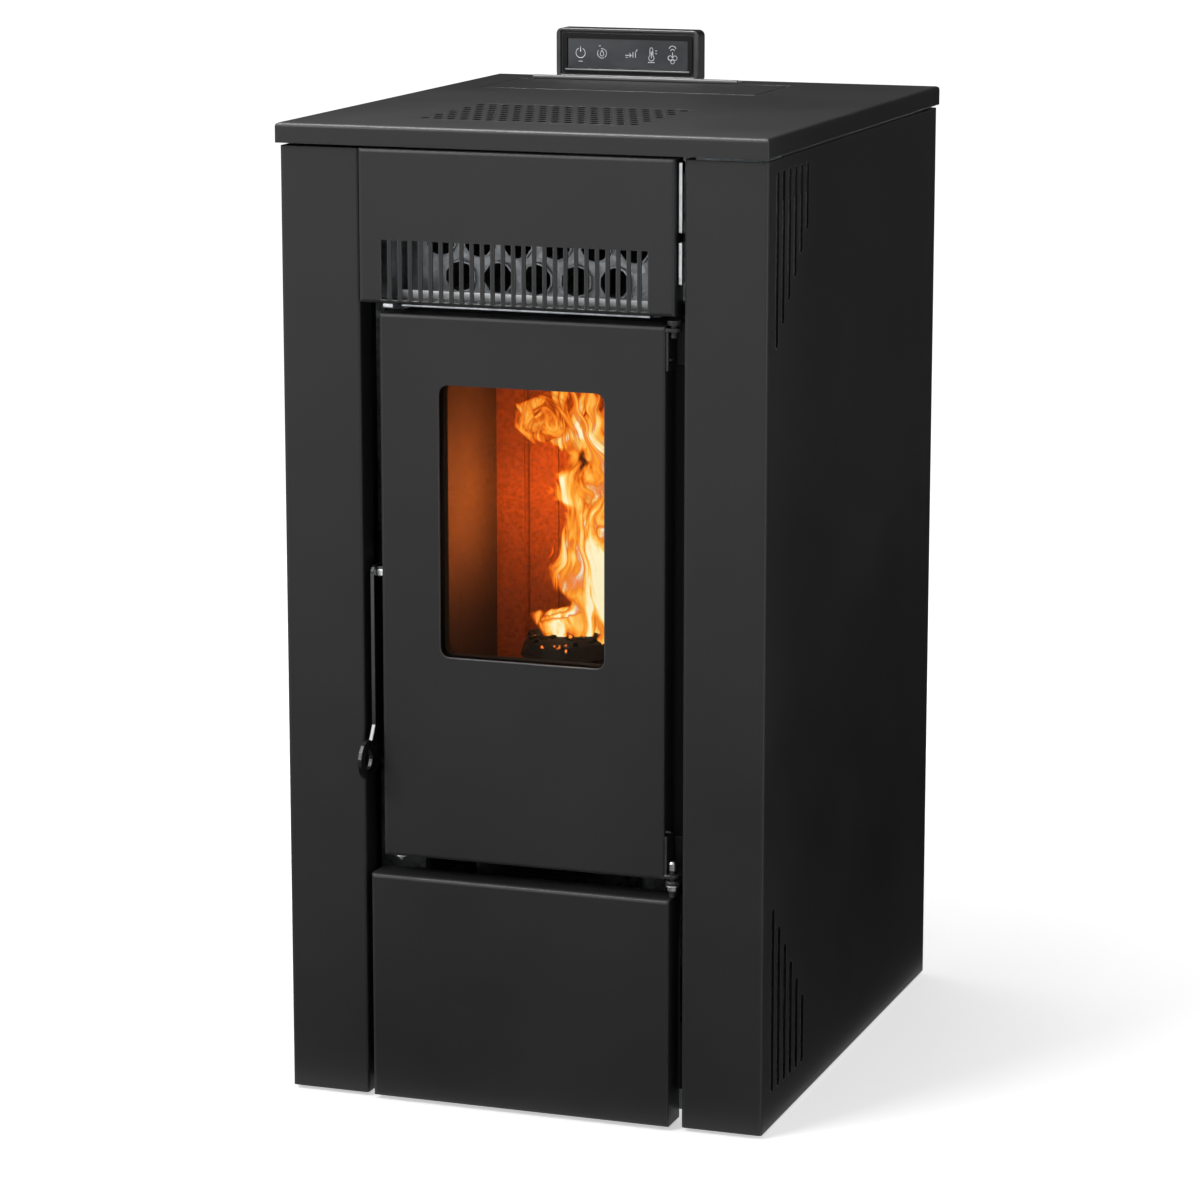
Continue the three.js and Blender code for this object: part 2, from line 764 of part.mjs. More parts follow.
function makeLowerPanel() {
  const x0 = lowerPanelCentreX - lowerPanelWidth / 2;
  const body = pan(x0, x0 + lowerPanelWidth, -frontForward, -frontForward + lowerPanelReturn,
    floorGap, floorGap + lowerPanelHeight, 'front', caseSheet);
  piece('lower_front_panel', body, blackPowder);
}

makeFascia();
makeLowerPanel();

// ---------------------------------------------------------------------------------------------
// Door: folded skin, inner frame, glass, gaskets and hinge lugs
// ---------------------------------------------------------------------------------------------

const doorX0 = doorCentreX - doorWidth / 2;
const doorX1 = doorCentreX + doorWidth / 2;
const doorTop = doorBottom + doorHeight;
const hingePinX = doorX1 + hingeEye;
const windowTop = windowBottom + windowHeight;
const halfWindow = windowWidth / 2;
const frameX0 = doorX0 + caseSheet + frameMargin;
const frameX1 = doorX1 - caseSheet - frameMargin;
const frameZ0 = doorBottom + caseSheet + frameMargin;
const frameZ1 = doorTop - caseSheet - frameMargin;
const frameBack = caseSheet + frameDepth;
const glassX = halfWindow + frameReveal + glassLap;
const glassZ0 = windowBottom - frameReveal - glassLap;
const glassZ1 = windowTop + frameReveal + glassLap;

function makeDoorPanel() {
  const skin = pan(doorX0, doorX1, 0, doorReturn, doorBottom, doorTop, 'front', caseSheet);
  const outline = roundedAll(doorCentreX - halfWindow, doorCentreX + halfWindow,
    windowBottom, windowTop, windowRadius);
  piece('door_panel', skin.subtract(prism(outline, 'y', -overcut, caseSheet + overcut)), blackPowder);
}

// A rectangular ring round the window, between two offsets from its edge.
function windowRing(inner, outer, y0, y1) {
  const ring = box(doorCentreX - halfWindow - outer, doorCentreX + halfWindow + outer, y0, y1,
    windowBottom - outer, windowTop + outer);
  return ring.subtract(box(doorCentreX - halfWindow - inner, doorCentreX + halfWindow + inner,
    y0 - overcut, y1 + overcut, windowBottom - inner, windowTop + inner));
}

// The rope's ring, as wide as the value given and set in from the frame's edge.
function ropeRing(width, y0, y1) {
  const x0 = frameX0 + doorGasketMargin;
  const x1 = frameX1 - doorGasketMargin;
  const z0 = frameZ0 + doorGasketMargin;
  const z1 = frameZ1 - doorGasketMargin;
  return box(x0, x1, y0, y1, z0, z1)
    .subtract(box(x0 + width, x1 - width, y0 - overcut, y1 + overcut, z0 + width, z1 - width));
}

function makeDoorFrame() {
  const opening = prism(roundedAll(doorCentreX - halfWindow - frameReveal,
    doorCentreX + halfWindow + frameReveal,
    windowBottom - frameReveal, windowTop + frameReveal, windowRadius + frameReveal),
  'y', caseSheet - overcut, frameBack + overcut);
  const rebate = box(doorCentreX - glassX - seam, doorCentreX + glassX + seam,
    glassRecess - glassGasketSize, frameBack + overcut, glassZ0 - seam, glassZ1 + seam);
  const groove = ropeRing(doorGasketSize, frameBack - doorGasketGroove, frameBack + overcut);
  const block = box(frameX0, frameX1, caseSheet, frameBack, frameZ0, frameZ1);
  const clipY = glassRecess + glassThickness + seam;
  const clips = [];
  for (const side of [-1, 1]) {
    for (const z of [glassZ0 + glassLap * 2, glassZ1 - glassLap * 2]) {
      clips.push(sideBox(doorCentreX + side * (glassX - clipLap), doorCentreX + side * (glassX + clipLap / 2),
        clipY, clipY + 2, z - clipLap, z + clipLap));
    }
  }
  piece('door_frame', joined([cut(block, [opening, rebate, groove]), ...clips]), castIron);
}

function makeGlass() {
  piece('door_glass', box(doorCentreX - glassX, doorCentreX + glassX,
    glassRecess, glassRecess + glassThickness, glassZ0, glassZ1), ceramicGlass);
  piece('glass_gasket', windowRing(frameReveal + glassLap / 3, frameReveal + glassLap,
    glassRecess - glassGasketSize + seam / 2, glassRecess - seam / 2), rope);
  piece('door_gasket', ropeRing(doorGasketSize - 2 * seam, frameBack - doorGasketGroove + seam,
    fireboxFront - seam)
    .intersect(box(frameX0 + doorGasketMargin + seam, frameX1 - doorGasketMargin - seam, 0, fireboxFront,
      frameZ0 + doorGasketMargin + seam, frameZ1 - doorGasketMargin - seam)), rope);
}

// A flat plate that reaches from a straight edge to a round end about the hinge pin.
function hingePlate(fromX, toY, z0, z1) {
  const round = rod('z', hingePinX, hingePinY, hingeEye, z0, z1);
  const sideways = box(fromX, hingePinX, hingePinY - hingeEye, hingePinY + hingeEye, z0, z1);
  const backwards = box(hingePinX - hingeEye, hingePinX + hingeEye, hingePinY, toY, z0, z1);
  return fromX < hingePinX - hingeEye / 2 && toY <= hingePinY + hingeEye
    ? round.add(sideways)
    : round.add(backwards);
}

const topLugZ = doorTop - lugDrop - lugThickness;
const bottomLugZ = doorBottom + lugDrop;

function makeLug(name, plateZ, legZ0, legZ1) {
  const plate = hingePlate(doorX1, hingePinY + hingeEye, plateZ, plateZ + lugThickness);
  const leg = box(doorX1, doorX1 + lugLeg, caseSheet, caseSheet + lugDepth, legZ0, legZ1);
  const hole = rod('z', hingePinX, hingePinY, hingePin + seam, plateZ - overcut,
    plateZ + lugThickness + overcut);
  piece(name, plate.add(leg).subtract(hole), blackPowder);
}

function makeBracket(name, plateZ, legZ0, legZ1, pinZ0, pinZ1, washerZ) {
  const plate = hingePlate(hingePinX, fireboxFront, plateZ, plateZ + bracketSheet);
  const leg = box(hingePinX - hingeEye + 1, hingePinX + hingeEye, fireboxFront - bracketSheet, fireboxFront,
    legZ0, legZ1);
  const pin = rod('z', hingePinX, hingePinY, hingePin, pinZ0, pinZ1);
  const washer = rod('z', hingePinX, hingePinY, hingeEye - 0.5, washerZ, washerZ + hingeWasher);
  piece(name, joined([plate, leg, pin, washer]), brightSteel);
}

makeDoorPanel();
makeDoorFrame();
makeGlass();
makeLug('door_lug_top', topLugZ, doorTop - lugDrop - lugHeight, doorTop - lugDrop);
makeLug('door_lug_bottom', bottomLugZ, doorBottom + lugDrop, doorBottom + lugDrop + lugHeight);

const topBracketZ = topLugZ + lugThickness + hingeGap;
const bottomBracketZ = bottomLugZ - hingeGap - bracketSheet;
makeBracket('hinge_bracket_top', topBracketZ, topBracketZ - bracketLeg, topBracketZ + bracketSheet,
  topLugZ - hingePinStand / 2, topBracketZ + bracketSheet, topBracketZ - hingeWasher);
makeBracket('hinge_bracket_bottom', bottomBracketZ, bottomBracketZ, bottomBracketZ + bracketLeg,
  bottomBracketZ - hingePinStand, bottomLugZ + hingePinStand, bottomBracketZ + bracketSheet);

// ---------------------------------------------------------------------------------------------
// Door lever, its pivot bolt and the catch
// ---------------------------------------------------------------------------------------------

const leverRightX = doorX0 - leverDoorGap;
const leverLeftX = leverRightX - leverThickness;
const leverPivotY = leverFrontY + leverWidth / 2;
const leverPivotZ = leverTop - leverPivotDrop;
const noseTop = leverTop - seam;

function makeLever() {
  const rearY = leverFrontY + leverWidth;
  const bar = prism(rounded(leverFrontY, rearY, leverBarBottom, leverTop,
    [0, 0, leverCorner / 2, leverCorner]),
    'x', leverLeftX, leverRightX);
  const eye = rod('x', eyeCentreY, eyeCentreZ, eyeOuter, leverLeftX, leverRightX, roundSides);
  const neck = prism([
    [leverFrontY, leverBarBottom + eyeHole], [eyeCentreY, eyeCentreZ], [eyeCentreY, eyeCentreZ - eyeOuter],
    [leverFrontY + leverWidth / 5, eyeCentreZ - eyeOuter * 0.7], [rearY - leverWidth / 6, eyeCentreZ],
    [rearY, leverBarBottom + eyeHole],
  ], 'x', leverLeftX, leverRightX);
  const nose = box(leverLeftX, leverRightX, rearY - leverCorner, rearY + noseLength,
    noseTop - noseHeight, noseTop);
  const eyeBore = rod('x', eyeCentreY, eyeCentreZ, eyeHole, leverLeftX - 1, leverRightX + 1, roundSides);
  const pivotBore = rod('x', leverPivotY, leverPivotZ, leverBolt + seam, leverLeftX - 1, leverRightX + 1);
  piece('door_lever', cut(joined([bar, eye, neck, nose]), [eyeBore, pivotBore]), blackEnamel);
}

function makePivotBolt() {
  const shank = rod('x', leverPivotY, leverPivotZ, leverBolt, leverLeftX - seam - 1, doorX0);
  const head = rod('x', leverPivotY, leverPivotZ, leverNut, leverLeftX - seam - caseSheet,
    leverLeftX - seam, 6);
  const nut = rod('x', leverPivotY, leverPivotZ, leverNut, leverRightX + seam, doorX0, 6);
  piece('lever_pivot_bolt', joined([shank, head, nut]), brightSteel);
}

function makeCatch() {
  const back = fireboxFront + fireboxPlate;
  const edge = -flangeHalf + latchRelief;
  const pinZ = noseTop + catchClearance + catchPin;
  const pinY = back + catchPin + caseSheet;
  const plate = box(edge, edge + catchWidth * 0.8, back, back + caseSheet, pinZ - catchPin,
    pinZ + catchHeight);
  const block = box(edge, edge + catchPin * 2, back, pinY + catchPin, pinZ - catchPin, pinZ + catchPin * 2);
  const pin = rod('x', pinY, pinZ, catchPin, leverLeftX - caseSheet, edge + 1);
  piece('latch_catch', joined([plate, block, pin]), brightSteel);
}

makeLever();
makePivotBolt();
makeCatch();

// ---------------------------------------------------------------------------------------------
// Firebox: welded body, stand, liners, baffle, bed plate, burn pot and ash drawer
// ---------------------------------------------------------------------------------------------

const fireHalf = fireboxWidth / 2;
const innerHalf = fireHalf - fireboxPlate;
const fireInnerFront = fireboxFront + fireboxPlate;
const fireInnerRear = fireboxRear - fireboxPlate;
const bedTop = bedHeight + bedSheet;
const augerTurn = THREE.MathUtils.degToRad(augerTilt);

// Moves what is drawn from the origin along +Z onto the auger's axis, from its mouth down to the rear.
function onAuger(geometry) {
  geometry.rotateX(-Math.PI / 2 - augerTurn);
  geometry.translate(0, fireboxRear, augerMouthZ);
  return geometry;
}

function augerRod(radius, from, to, sides = roundSides) {
  const geometry = new THREE.CylinderGeometry(radius, radius, to - from, sides);
  geometry.rotateX(Math.PI / 2);
  geometry.translate(0, 0, (from + to) / 2);
  return solidOf(onAuger(geometry));
}

const smokeOutlet = [-potFlange * 14, potFlange * 13, smokeDuctFront, smokeDuctRear - potFlange];

function makeFirebox() {
  const shell = hollowBox(-fireHalf, fireHalf, fireboxFront, fireboxRear, fireboxBottom, fireboxTop,
    fireboxPlate);
  const flange = box(-flangeHalf + latchRelief, flangeHalf, fireboxFront, fireInnerFront,
    flangeBottom, fireboxTop);
  const [outX0, outX1, outY0, outY1] = smokeOutlet;
  const cuts = [
    box(-mouthWidth / 2, mouthWidth / 2, fireboxFront - 1, fireInnerFront + 1, mouthBottom, mouthTop),
    box(outX0, outX1, outY0, outY1, fireboxTop - fireboxPlate - 1, fireboxTop + 1),
    rod('z', airPipeX, potCentreY, airPipeRadius - airPipeWall, fireboxBottom - 1,
      fireboxBottom + fireboxPlate + 1),
    rod('y', potCentreX, igniterZ, igniterRadius + seam, fireInnerRear - 1, fireboxRear + 1),
    augerRod(augerTubeRadius - augerTubeWall, -fireboxPlate * 3, fireboxPlate * 2),
  ];
  piece('firebox_body', cut(shell.add(flange), cuts), heatPaint);
}

function makeStand() {
  const half = standWidth / 2;
  const shell = hollowBox(-half, half, standFront, standRear, trayTop, fireboxBottom, standSheet);
  const cuts = [
    box(-half + standSheet, half - standSheet, standFront - 1, standRear + 1,
      trayTop + standSheet, fireboxBottom - standSheet),
    rod('z', airPipeX, potCentreY, airPipeRadius + seam, fireboxBottom - standSheet - 1, fireboxBottom + 1),
    prism(roundedAll(standFront + standWindowEdge, standRear - standWindowEdge, trayTop + standWindowSill,
      fireboxBottom - standWindowSill, standWindowRadius), 'x', -half - 1, half + 1),
  ];
  piece('firebox_stand', cut(shell, cuts), galvanised);
}

// A slab of liner with upright grooves in the face that looks at the fire.
function grooves(from, to, make) {
  const count = Math.floor((to - from) / linerGroovePitch);
  const start = (from + to) / 2 - ((count - 1) * linerGroovePitch) / 2;
  return Array.from({ length: count }, (_, i) => make(start + i * linerGroovePitch));
}

function makeLiners() {
  const bottom = bedTop + seam;
  const backFront = fireInnerRear - seam - linerThickness;
  const back = box(-innerHalf + seam, innerHalf - seam, backFront, fireInnerRear - seam, bottom, linerTop);
  const backGrooves = grooves(-innerHalf + linerThickness, innerHalf - linerThickness, (x) => box(
    x - linerGrooveWidth / 2, x + linerGrooveWidth / 2, backFront - 1, backFront + linerGrooveDepth,
    bottom - 1, linerTop + 1));
  const chute = augerRod(augerTubeRadius - augerTubeWall, -linerThickness * 3, fireboxPlate * 2);
  piece('liner_back', cut(back, [...backGrooves, chute]), vermiculite);
  for (const [name, side] of [['liner_left', -1], ['liner_right', 1]]) {
    const outer = side * (innerHalf - seam);
    const inner = side * (innerHalf - seam - linerThickness);
    const front = fireInnerFront + linerFrontGap;
    const slab = sideBox(outer, inner, front, backFront - seam, bottom, linerTop);
    const sideGrooves = grooves(front, backFront, (y) => sideBox(
      inner - side, inner + side * linerGrooveDepth, y - linerGrooveWidth / 2, y + linerGrooveWidth / 2,
      bottom - 1, linerTop + 1));
    piece(name, cut(slab, sideGrooves), vermiculite);
  }
  piece('baffle_plate', box(-innerHalf + seam, innerHalf - seam, fireInnerFront + bafflePass,
    fireInnerRear - seam, linerTop + seam, linerTop + seam + baffleThickness), vermiculite);
}

function makeBed() {
  const plate = box(-innerHalf + seam, innerHalf - seam, fireInnerFront + seam, fireInnerRear - seam,
    bedHeight, bedTop);
  const ashSlots = [-1, 1].map((side) => sideBox(potCentreX + side * (potRadius + potFlange * 2),
    potCentreX + side * (potRadius + potFlange * 6), fireInnerFront + linerThickness,
    fireInnerRear - linerThickness * 2, bedHeight - 1, bedTop + 1));
  const seat = rod('z', potCentreX, potCentreY, potRadius + seam * 2, bedHeight - 1, bedTop + 1, 24);
  piece('fire_bed_plate', cut(plate, [...ashSlots, seat]), castIron);
}

function revolve(profile, x, y, sides) {
  const geometry = new THREE.LatheGeometry(profile.map(([r, z]) => new THREE.Vector2(r, z)), sides);
  geometry.rotateX(Math.PI / 2);
  geometry.translate(x, y, 0);
  return solidOf(geometry);
}

function makeBurnPot() {
  const rim = bedTop + potRise;
  const bottom = rim - potHeight;
  const flangeZ = bedTop + seam;
  const wall = potRadius - potWall;
  const cup = revolve([
    [0, bottom], [potRadius, bottom], [potRadius, flangeZ], [potRadius + potFlange, flangeZ],
    [potRadius + potFlange, flangeZ + potWall], [potRadius, flangeZ + potWall], [potRadius, rim],
    [wall, rim], [wall, bottom + potWall], [0, bottom + potWall],
  ], potCentreX, potCentreY, roundSides);
  const holes = [rod('z', potCentreX, potCentreY, potHole, bottom - 1, bottom + potWall + 1, 6)];
  for (let i = 0; i < 6; i += 1) {
    const angle = (i * Math.PI) / 3;
    holes.push(rod('z', potCentreX + (wall / 2) * Math.cos(angle), potCentreY + (wall / 2) * Math.sin(angle),
      potHole, bottom - 1, bottom + potWall + 1, 6));
  }
  const across = potRadius * 2;
  holes.push(rod('x', potCentreY, rim - potRise / 3, potHole, potCentreX - across, potCentreX + across, 6));
  holes.push(rod('y', potCentreX, rim - potRise / 3, potHole, potCentreY - across, potCentreY + across, 6));
  piece('burn_pot', cut(cup, holes), castIron);
}

function makeAshDrawer() {
  const half = innerHalf - drawerSideGap;
  const y0 = fireInnerFront + drawerRim;
  const y1 = fireInnerRear - drawerRim;
  const z0 = fireboxBottom + fireboxPlate + seam;
  const z1 = z0 + drawerHeight;
  const tray = box(-half, half, y0, y1, z0, z1).subtract(box(-half + drawerSheet, half - drawerSheet,
    y0 + drawerSheet, y1 - drawerSheet, z0 + drawerSheet, z1 + 1));
  const lip = box(-half / 2, half / 2, y0 - drawerRim + drawerSheet, y0 + drawerSheet, z1 - drawerSheet, z1);
  piece('ash_drawer', tray.add(lip), galvanised);
}

makeFirebox();
makeStand();
makeLiners();
makeBed();
makeBurnPot();
makeAshDrawer();

// ---------------------------------------------------------------------------------------------
// Room air: heat exchanger, front plenum, rear duct and cross-flow fan
// ---------------------------------------------------------------------------------------------

const exchangerX0 = slotCentreX - exchangerWidth / 2;
const exchangerX1 = slotCentreX + exchangerWidth / 2;
const exchangerTop = fireboxTop + exchangerHeight;
const tubeRear = fireboxRear + tubeStub;
const lowerRowZ = slotZ0 + tubeRadius;
const airDuctFront = fireboxRear + seam;
const airDuctRear = airDuctFront + airDuctDepth;
const smokeDuctTop = exchangerTop - smokeDuctTopDrop;
const smokeDuctX = -fireHalf - smokeDuctGap - smokeDuctWidth;    // outer face
const smokeFanX = smokeDuctX + smokeDuctWidth / 2;

// The tubes' centres: a lower row seen through the slots and an upper row between them.
function tubeCentres() {
  const centres = [];
  for (let row = 0; row < 2; row += 1) {
    const count = row === 0 ? upperTubes - 1 : upperTubes;
    for (let i = 0; i < count; i += 1) {
      centres.push([slotCentreX + (i - (count - 1) / 2) * tubePitch, lowerRowZ + row * tubeRowRise]);
    }
  }
  return centres;
}

function makeHeatExchanger() {
  const shell = hollowBox(exchangerX0, exchangerX1, tubeSheetFront, fireboxRear, fireboxTop, exchangerTop,
    standSheet);
  const [outX0, outX1, outY0, outY1] = smokeOutlet;
  const inlet = box(outX0, outX1, outY0, outY1, fireboxTop - 1, fireboxTop + standSheet + 1);
  const outlet = box(exchangerX0 - 1, exchangerX0 + standSheet + 1, smokeDuctFront + drawerRim,
    smokeDuctRear - drawerRim, lowerRowZ, smokeDuctTop - drawerRim);
  const centres = tubeCentres();
  const tubes = centres.map(([x, z]) => rod('y', x, z, tubeRadius, tubeSheetFront - tubeStub, tubeRear,
    tubeSides));
  const bores = centres.map(
    ([x, z]) => rod('y', x, z, tubeRadius - tubeWall, tubeSheetFront - tubeStub - 1, tubeRear + 1,
      tubeSides));
  piece('heat_exchanger', cut(joined([cut(shell, [inlet, outlet]), ...tubes]), bores), galvanised);
}

function makePlenum() {
  const x0 = slotCentreX - plenumWidth / 2;
  const x1 = slotCentreX + plenumWidth / 2;
  const y0 = -frontForward + fasciaReturn + seam;
  const y1 = tubeSheetFront - seam;
  const z0 = fasciaBottom + plenumSheet / 2;
  const z1 = exchangerTop + tubeStub;
  const duct = box(x0, x1, y0, y1, z0, z1)
    .subtract(box(x0 + plenumSheet, x1 - plenumSheet, y0 - 1, y1 + 1, z0 + plenumSheet, z1 - plenumSheet));
  const flangeTop = fasciaTop - plenumNotch * 2;
  const flangeEdge = columnInner - plenumNotch / 2;
  const flange = box(-flangeEdge, flangeEdge, y0, y0 + plenumSheet, flangeTop - plenumFlangeHeight, flangeTop)
    .subtract(box(x0 + plenumSheet, x1 - plenumSheet, y0 - 1, y0 + 2, z0, z1 - plenumSheet));
  const notchZ = flangeTop - plenumFlangeHeight / 2;
  const notch = box(fasciaX1, flangeEdge + 1, y0 - 1, y0 + 2, notchZ - plenumNotch / 2,
    notchZ + plenumNotch / 2);
  piece('air_plenum', duct.add(flange).subtract(notch), galvanised);
}

function makeRearDuct() {
  const half = airDuctWidth / 2;
  const shell = hollowBox(-half, half, airDuctFront, airDuctRear, airDuctBottom, exchangerTop, ductSheet);
  const cuts = [
    box(-half + ductSheet, half - ductSheet, airDuctFront - 1, airDuctFront + ductSheet + 1,
      fireboxTop + standSheet, exchangerTop - ductSheet),
    box(-roomFanLength / 2, roomFanLength / 2, airDuctFront + ductSheet, airDuctRear - ductSheet,
      airDuctBottom - 1, airDuctBottom + ductSheet + 1),
    augerRod(augerTubeRadius + seam, -augerTubeRadius, airDuctDepth * 3),
    rod('y', potCentreX, igniterZ, igniterRadius + seam, airDuctFront - 1, airDuctRear + 1),
  ];
  piece('rear_air_duct', cut(shell, cuts), galvanised);
}

const roomFanY = airDuctFront + roomFanHousingDepth / 2;
const roomFanZ = airDuctBottom - roomFanHousingHeight / 2;
const roomFanHalf = roomFanLength / 2;
const roomHousingHalf = roomFanHalf + ductSheet * 4;

function makeRoomFan() {
  const y1 = airDuctFront + roomFanHousingDepth;
  const z0 = airDuctBottom - roomFanHousingHeight;
  const shell = hollowBox(-roomHousingHalf, roomHousingHalf, airDuctFront, y1, z0, airDuctBottom, ductSheet);
  const cuts = [
    box(-roomFanHalf, roomFanHalf, airDuctFront + ductSheet, airDuctRear - ductSheet,
      airDuctBottom - ductSheet - 1, airDuctBottom + 1),
    box(-roomFanHalf, roomFanHalf, y1 - ductSheet - 1, y1 + 1, z0 + ductSheet, roomFanZ + roomFanRadius / 2),
    rod('x', roomFanY, roomFanZ, footStud + seam, -roomHousingHalf - 1, roomHousingHalf + 1),
  ];
  piece('room_fan_housing', cut(shell, cuts), galvanised);

  const disc = 2;
  const parts = [
    rod('x', roomFanY, roomFanZ, roomFanRadius, -roomFanHalf, -roomFanHalf + disc, roundSides),
    rod('x', roomFanY, roomFanZ, roomFanRadius, roomFanHalf - disc, roomFanHalf, roundSides),
    rod('x', roomFanY, roomFanZ, footStud, -roomHousingHalf - footStud, -roomFanHalf + disc),
    rod('x', roomFanY, roomFanZ, footStud, roomFanHalf - disc, roomHousingHalf + footStud * 2),
  ];
  for (let i = 0; i < roomFanBlades; i += 1) {
    const angle = (i * 2 * Math.PI) / roomFanBlades;
    const blade = new THREE.BoxGeometry(roomFanLength - disc, roomFanRadius / 4, disc / 2);
    blade.rotateX(Math.PI / 5);
    blade.translate(0, roomFanRadius * 0.82, 0);
    blade.rotateX(angle);
    blade.translate(0, roomFanY, roomFanZ);
    parts.push(solidOf(blade));
  }
  piece('room_fan_impeller', joined(parts), galvanised);

  const motorX = roomHousingHalf;
  const can = rod('x', roomFanY, roomFanZ, roomFanMotorRadius, motorX, motorX + roomFanMotorLength,
    roundSides);
  const shaftBore = rod('x', roomFanY, roomFanZ, footStud + seam, motorX - 1, motorX + footStud * 3);
  piece('room_fan_motor', can.subtract(shaftBore), blackPlastic);
}

makeHeatExchanger();
makePlenum();
makeRearDuct();
makeRoomFan();

// ---------------------------------------------------------------------------------------------
// Fuel: hopper, guard, auger tube, auger screw and gearmotor
// ---------------------------------------------------------------------------------------------

const throatY = fireboxRear + throatDrop * Math.cos(augerTurn);
const hopperTop = coverUnder - caseSheet - 2 * seam;

// A block whose lower face is a smaller rectangle than its upper one.
function taper(lower, upper, z0, z1) {
  const geometry = new THREE.BoxGeometry(1, 1, 1);
  const place = geometry.attributes.position;
  for (let i = 0; i < place.count; i += 1) {
    const face = place.getZ(i) < 0 ? lower : upper;
    place.setXYZ(i, place.getX(i) < 0 ? face[0] : face[1], place.getY(i) < 0 ? face[2] : face[3],
      place.getZ(i) < 0 ? z0 : z1);
  }
  return solidOf(geometry);
}

function hopperForm(inset) {
  const bin = [-hopperWidth / 2 + inset, hopperWidth / 2 - inset, hopperFront + inset, hopperRear - inset];
  const throat = [-throatWidth / 2 + inset, throatWidth / 2 - inset,
    throatY - throatDepth / 2 + inset, throatY + throatDepth / 2 - inset];
  const end = inset > 0 ? 1 : 0;
  return joined([
    box(...bin, hopperShoulder, hopperTop + end),
    taper(throat, bin, throatTop, hopperShoulder),
    box(...throat, throatTop - end, throatTop + (inset > 0 ? 1 : hopperSheet)),
  ]);
}

function makeHopper() {
  const flange = box(-throatWidth / 2 - throatFlange, throatWidth / 2 + throatFlange,
    throatY - throatDepth / 2 - throatFlange, throatY + throatDepth / 2 + throatFlange,
    throatTop, throatTop + hopperSheet);
  piece('hopper', hopperForm(0).add(flange).subtract(hopperForm(hopperSheet)), galvanised);
}

function makeHopperGuard() {
  const half = hopperWidth / 2 - hopperSheet - seam;
  const y0 = hopperFront + hopperSheet + seam;
  const y1 = hopperRear - hopperSheet - seam;
  const z0 = hopperShoulder + seam;
  const plate = box(-half, half, y0, y1, z0, z0 + guardSheet);
  const pitch = (2 * half - guardBar) / guardSlots;
  const slots = [];
  for (let i = 0; i < guardSlots; i += 1) {
    const x = -half + guardBar + i * pitch;
    slots.push(box(x, x + pitch - guardBar, y0 + guardBar, y1 - guardBar, z0 - 1, z0 + guardSheet + 1));
  }
  piece('hopper_guard', cut(plate, slots), galvanised);
}

function makeAugerTube() {
  const pipe = augerRod(augerTubeRadius, -augerTubeRadius * 2, augerLength);
  const chimney = box(-throatWidth / 2, throatWidth / 2, throatY - throatDepth / 2, throatY + throatDepth / 2,
    augerMouthZ - throatDrop * Math.sin(augerTurn), throatTop - seam);
  const flange = box(-throatWidth / 2 - throatFlange, throatWidth / 2 + throatFlange,
    throatY - throatDepth / 2 - throatFlange, throatY + throatDepth / 2 + throatFlange,
    throatTop - seam - hopperSheet, throatTop - seam);
  const well = box(-throatWidth / 2 + hopperSheet, throatWidth / 2 - hopperSheet,
    throatY - throatDepth / 2 + hopperSheet, throatY + throatDepth / 2 - hopperSheet,
    augerMouthZ - throatDrop * Math.sin(augerTurn), throatTop + 1);
  const bore = augerRod(augerTubeRadius - augerTubeWall, -augerTubeRadius * 3, augerLength + 1);
  const behindWall = box(-augerTubeRadius * 2, augerTubeRadius * 2, fireboxRear - augerTubeRadius * 3,
    fireboxRear + seam, augerMouthZ - augerTubeRadius * 4, augerMouthZ + augerTubeRadius * 4);
  piece('auger_tube', cut(joined([pipe, chimney, flange]), [well, bore, behindWall]), galvanised);
}

// One unbroken blade wound round the shaft.
function augerBladeSolid(from, to) {
  const stepsPerTurn = 12;
  const steps = Math.round(((to - from) / augerPitch) * stepsPerTurn);
  const inner = augerShaft - 1;
  const vertices = [];
  for (let i = 0; i <= steps; i += 1) {
    const angle = (i * 2 * Math.PI) / stepsPerTurn;
    const z = from + (i * augerPitch) / stepsPerTurn;
    for (const [r, dz] of [[inner, 0], [augerRadius, 0], [augerRadius, augerBlade], [inner, augerBlade]]) {
      vertices.push(r * Math.cos(angle), r * Math.sin(angle), z + dz);
    }
  }
  const faces = [0, 1, 2, 0, 2, 3];
  for (let i = 0; i < steps; i += 1) {
    for (let edge = 0; edge < 4; edge += 1) {
      const p = 4 * i + edge;
      const q = 4 * i + ((edge + 1) % 4);
      faces.push(p, p + 4, q + 4, p, q + 4, q);
    }
  }
  const end = 4 * steps;
  faces.push(end, end + 2, end + 1, end, end + 3, end + 2);
  const geometry = new THREE.BufferGeometry();
  geometry.setAttribute('position', new THREE.Float32BufferAttribute(vertices, 3));
  geometry.setIndex(faces);
  return solidOf(onAuger(geometry));
}

const augerStart = augerTubeRadius + fireboxPlate;
const gearBore = gearmotorLength / 3;

function makeAuger() {
  const shaft = augerRod(augerShaft, augerStart, augerLength + gearBore - seam, smallSides);
  const blade = augerBladeSolid(augerStart + augerBlade, augerLength - augerBlade * 4);
  piece('auger_screw', shaft.add(blade), brightSteel);
  const gearbox = augerRod(gearmotorRadius, augerLength + seam, augerLength + gearmotorLength / 2);
  const motor = augerRod(gearmotorRadius * 0.7, augerLength + gearmotorLength / 2 - 1,
    augerLength + gearmotorLength);
  const socketRadius = augerShaft / Math.cos(Math.PI / smallSides) + seam;
  const socket = augerRod(socketRadius, augerLength, augerLength + gearBore, smallSides);
  piece('auger_gearmotor', gearbox.add(motor).subtract(socket), blackPlastic);
}

makeHopper();
makeHopperGuard();
makeAugerTube();
makeAuger();

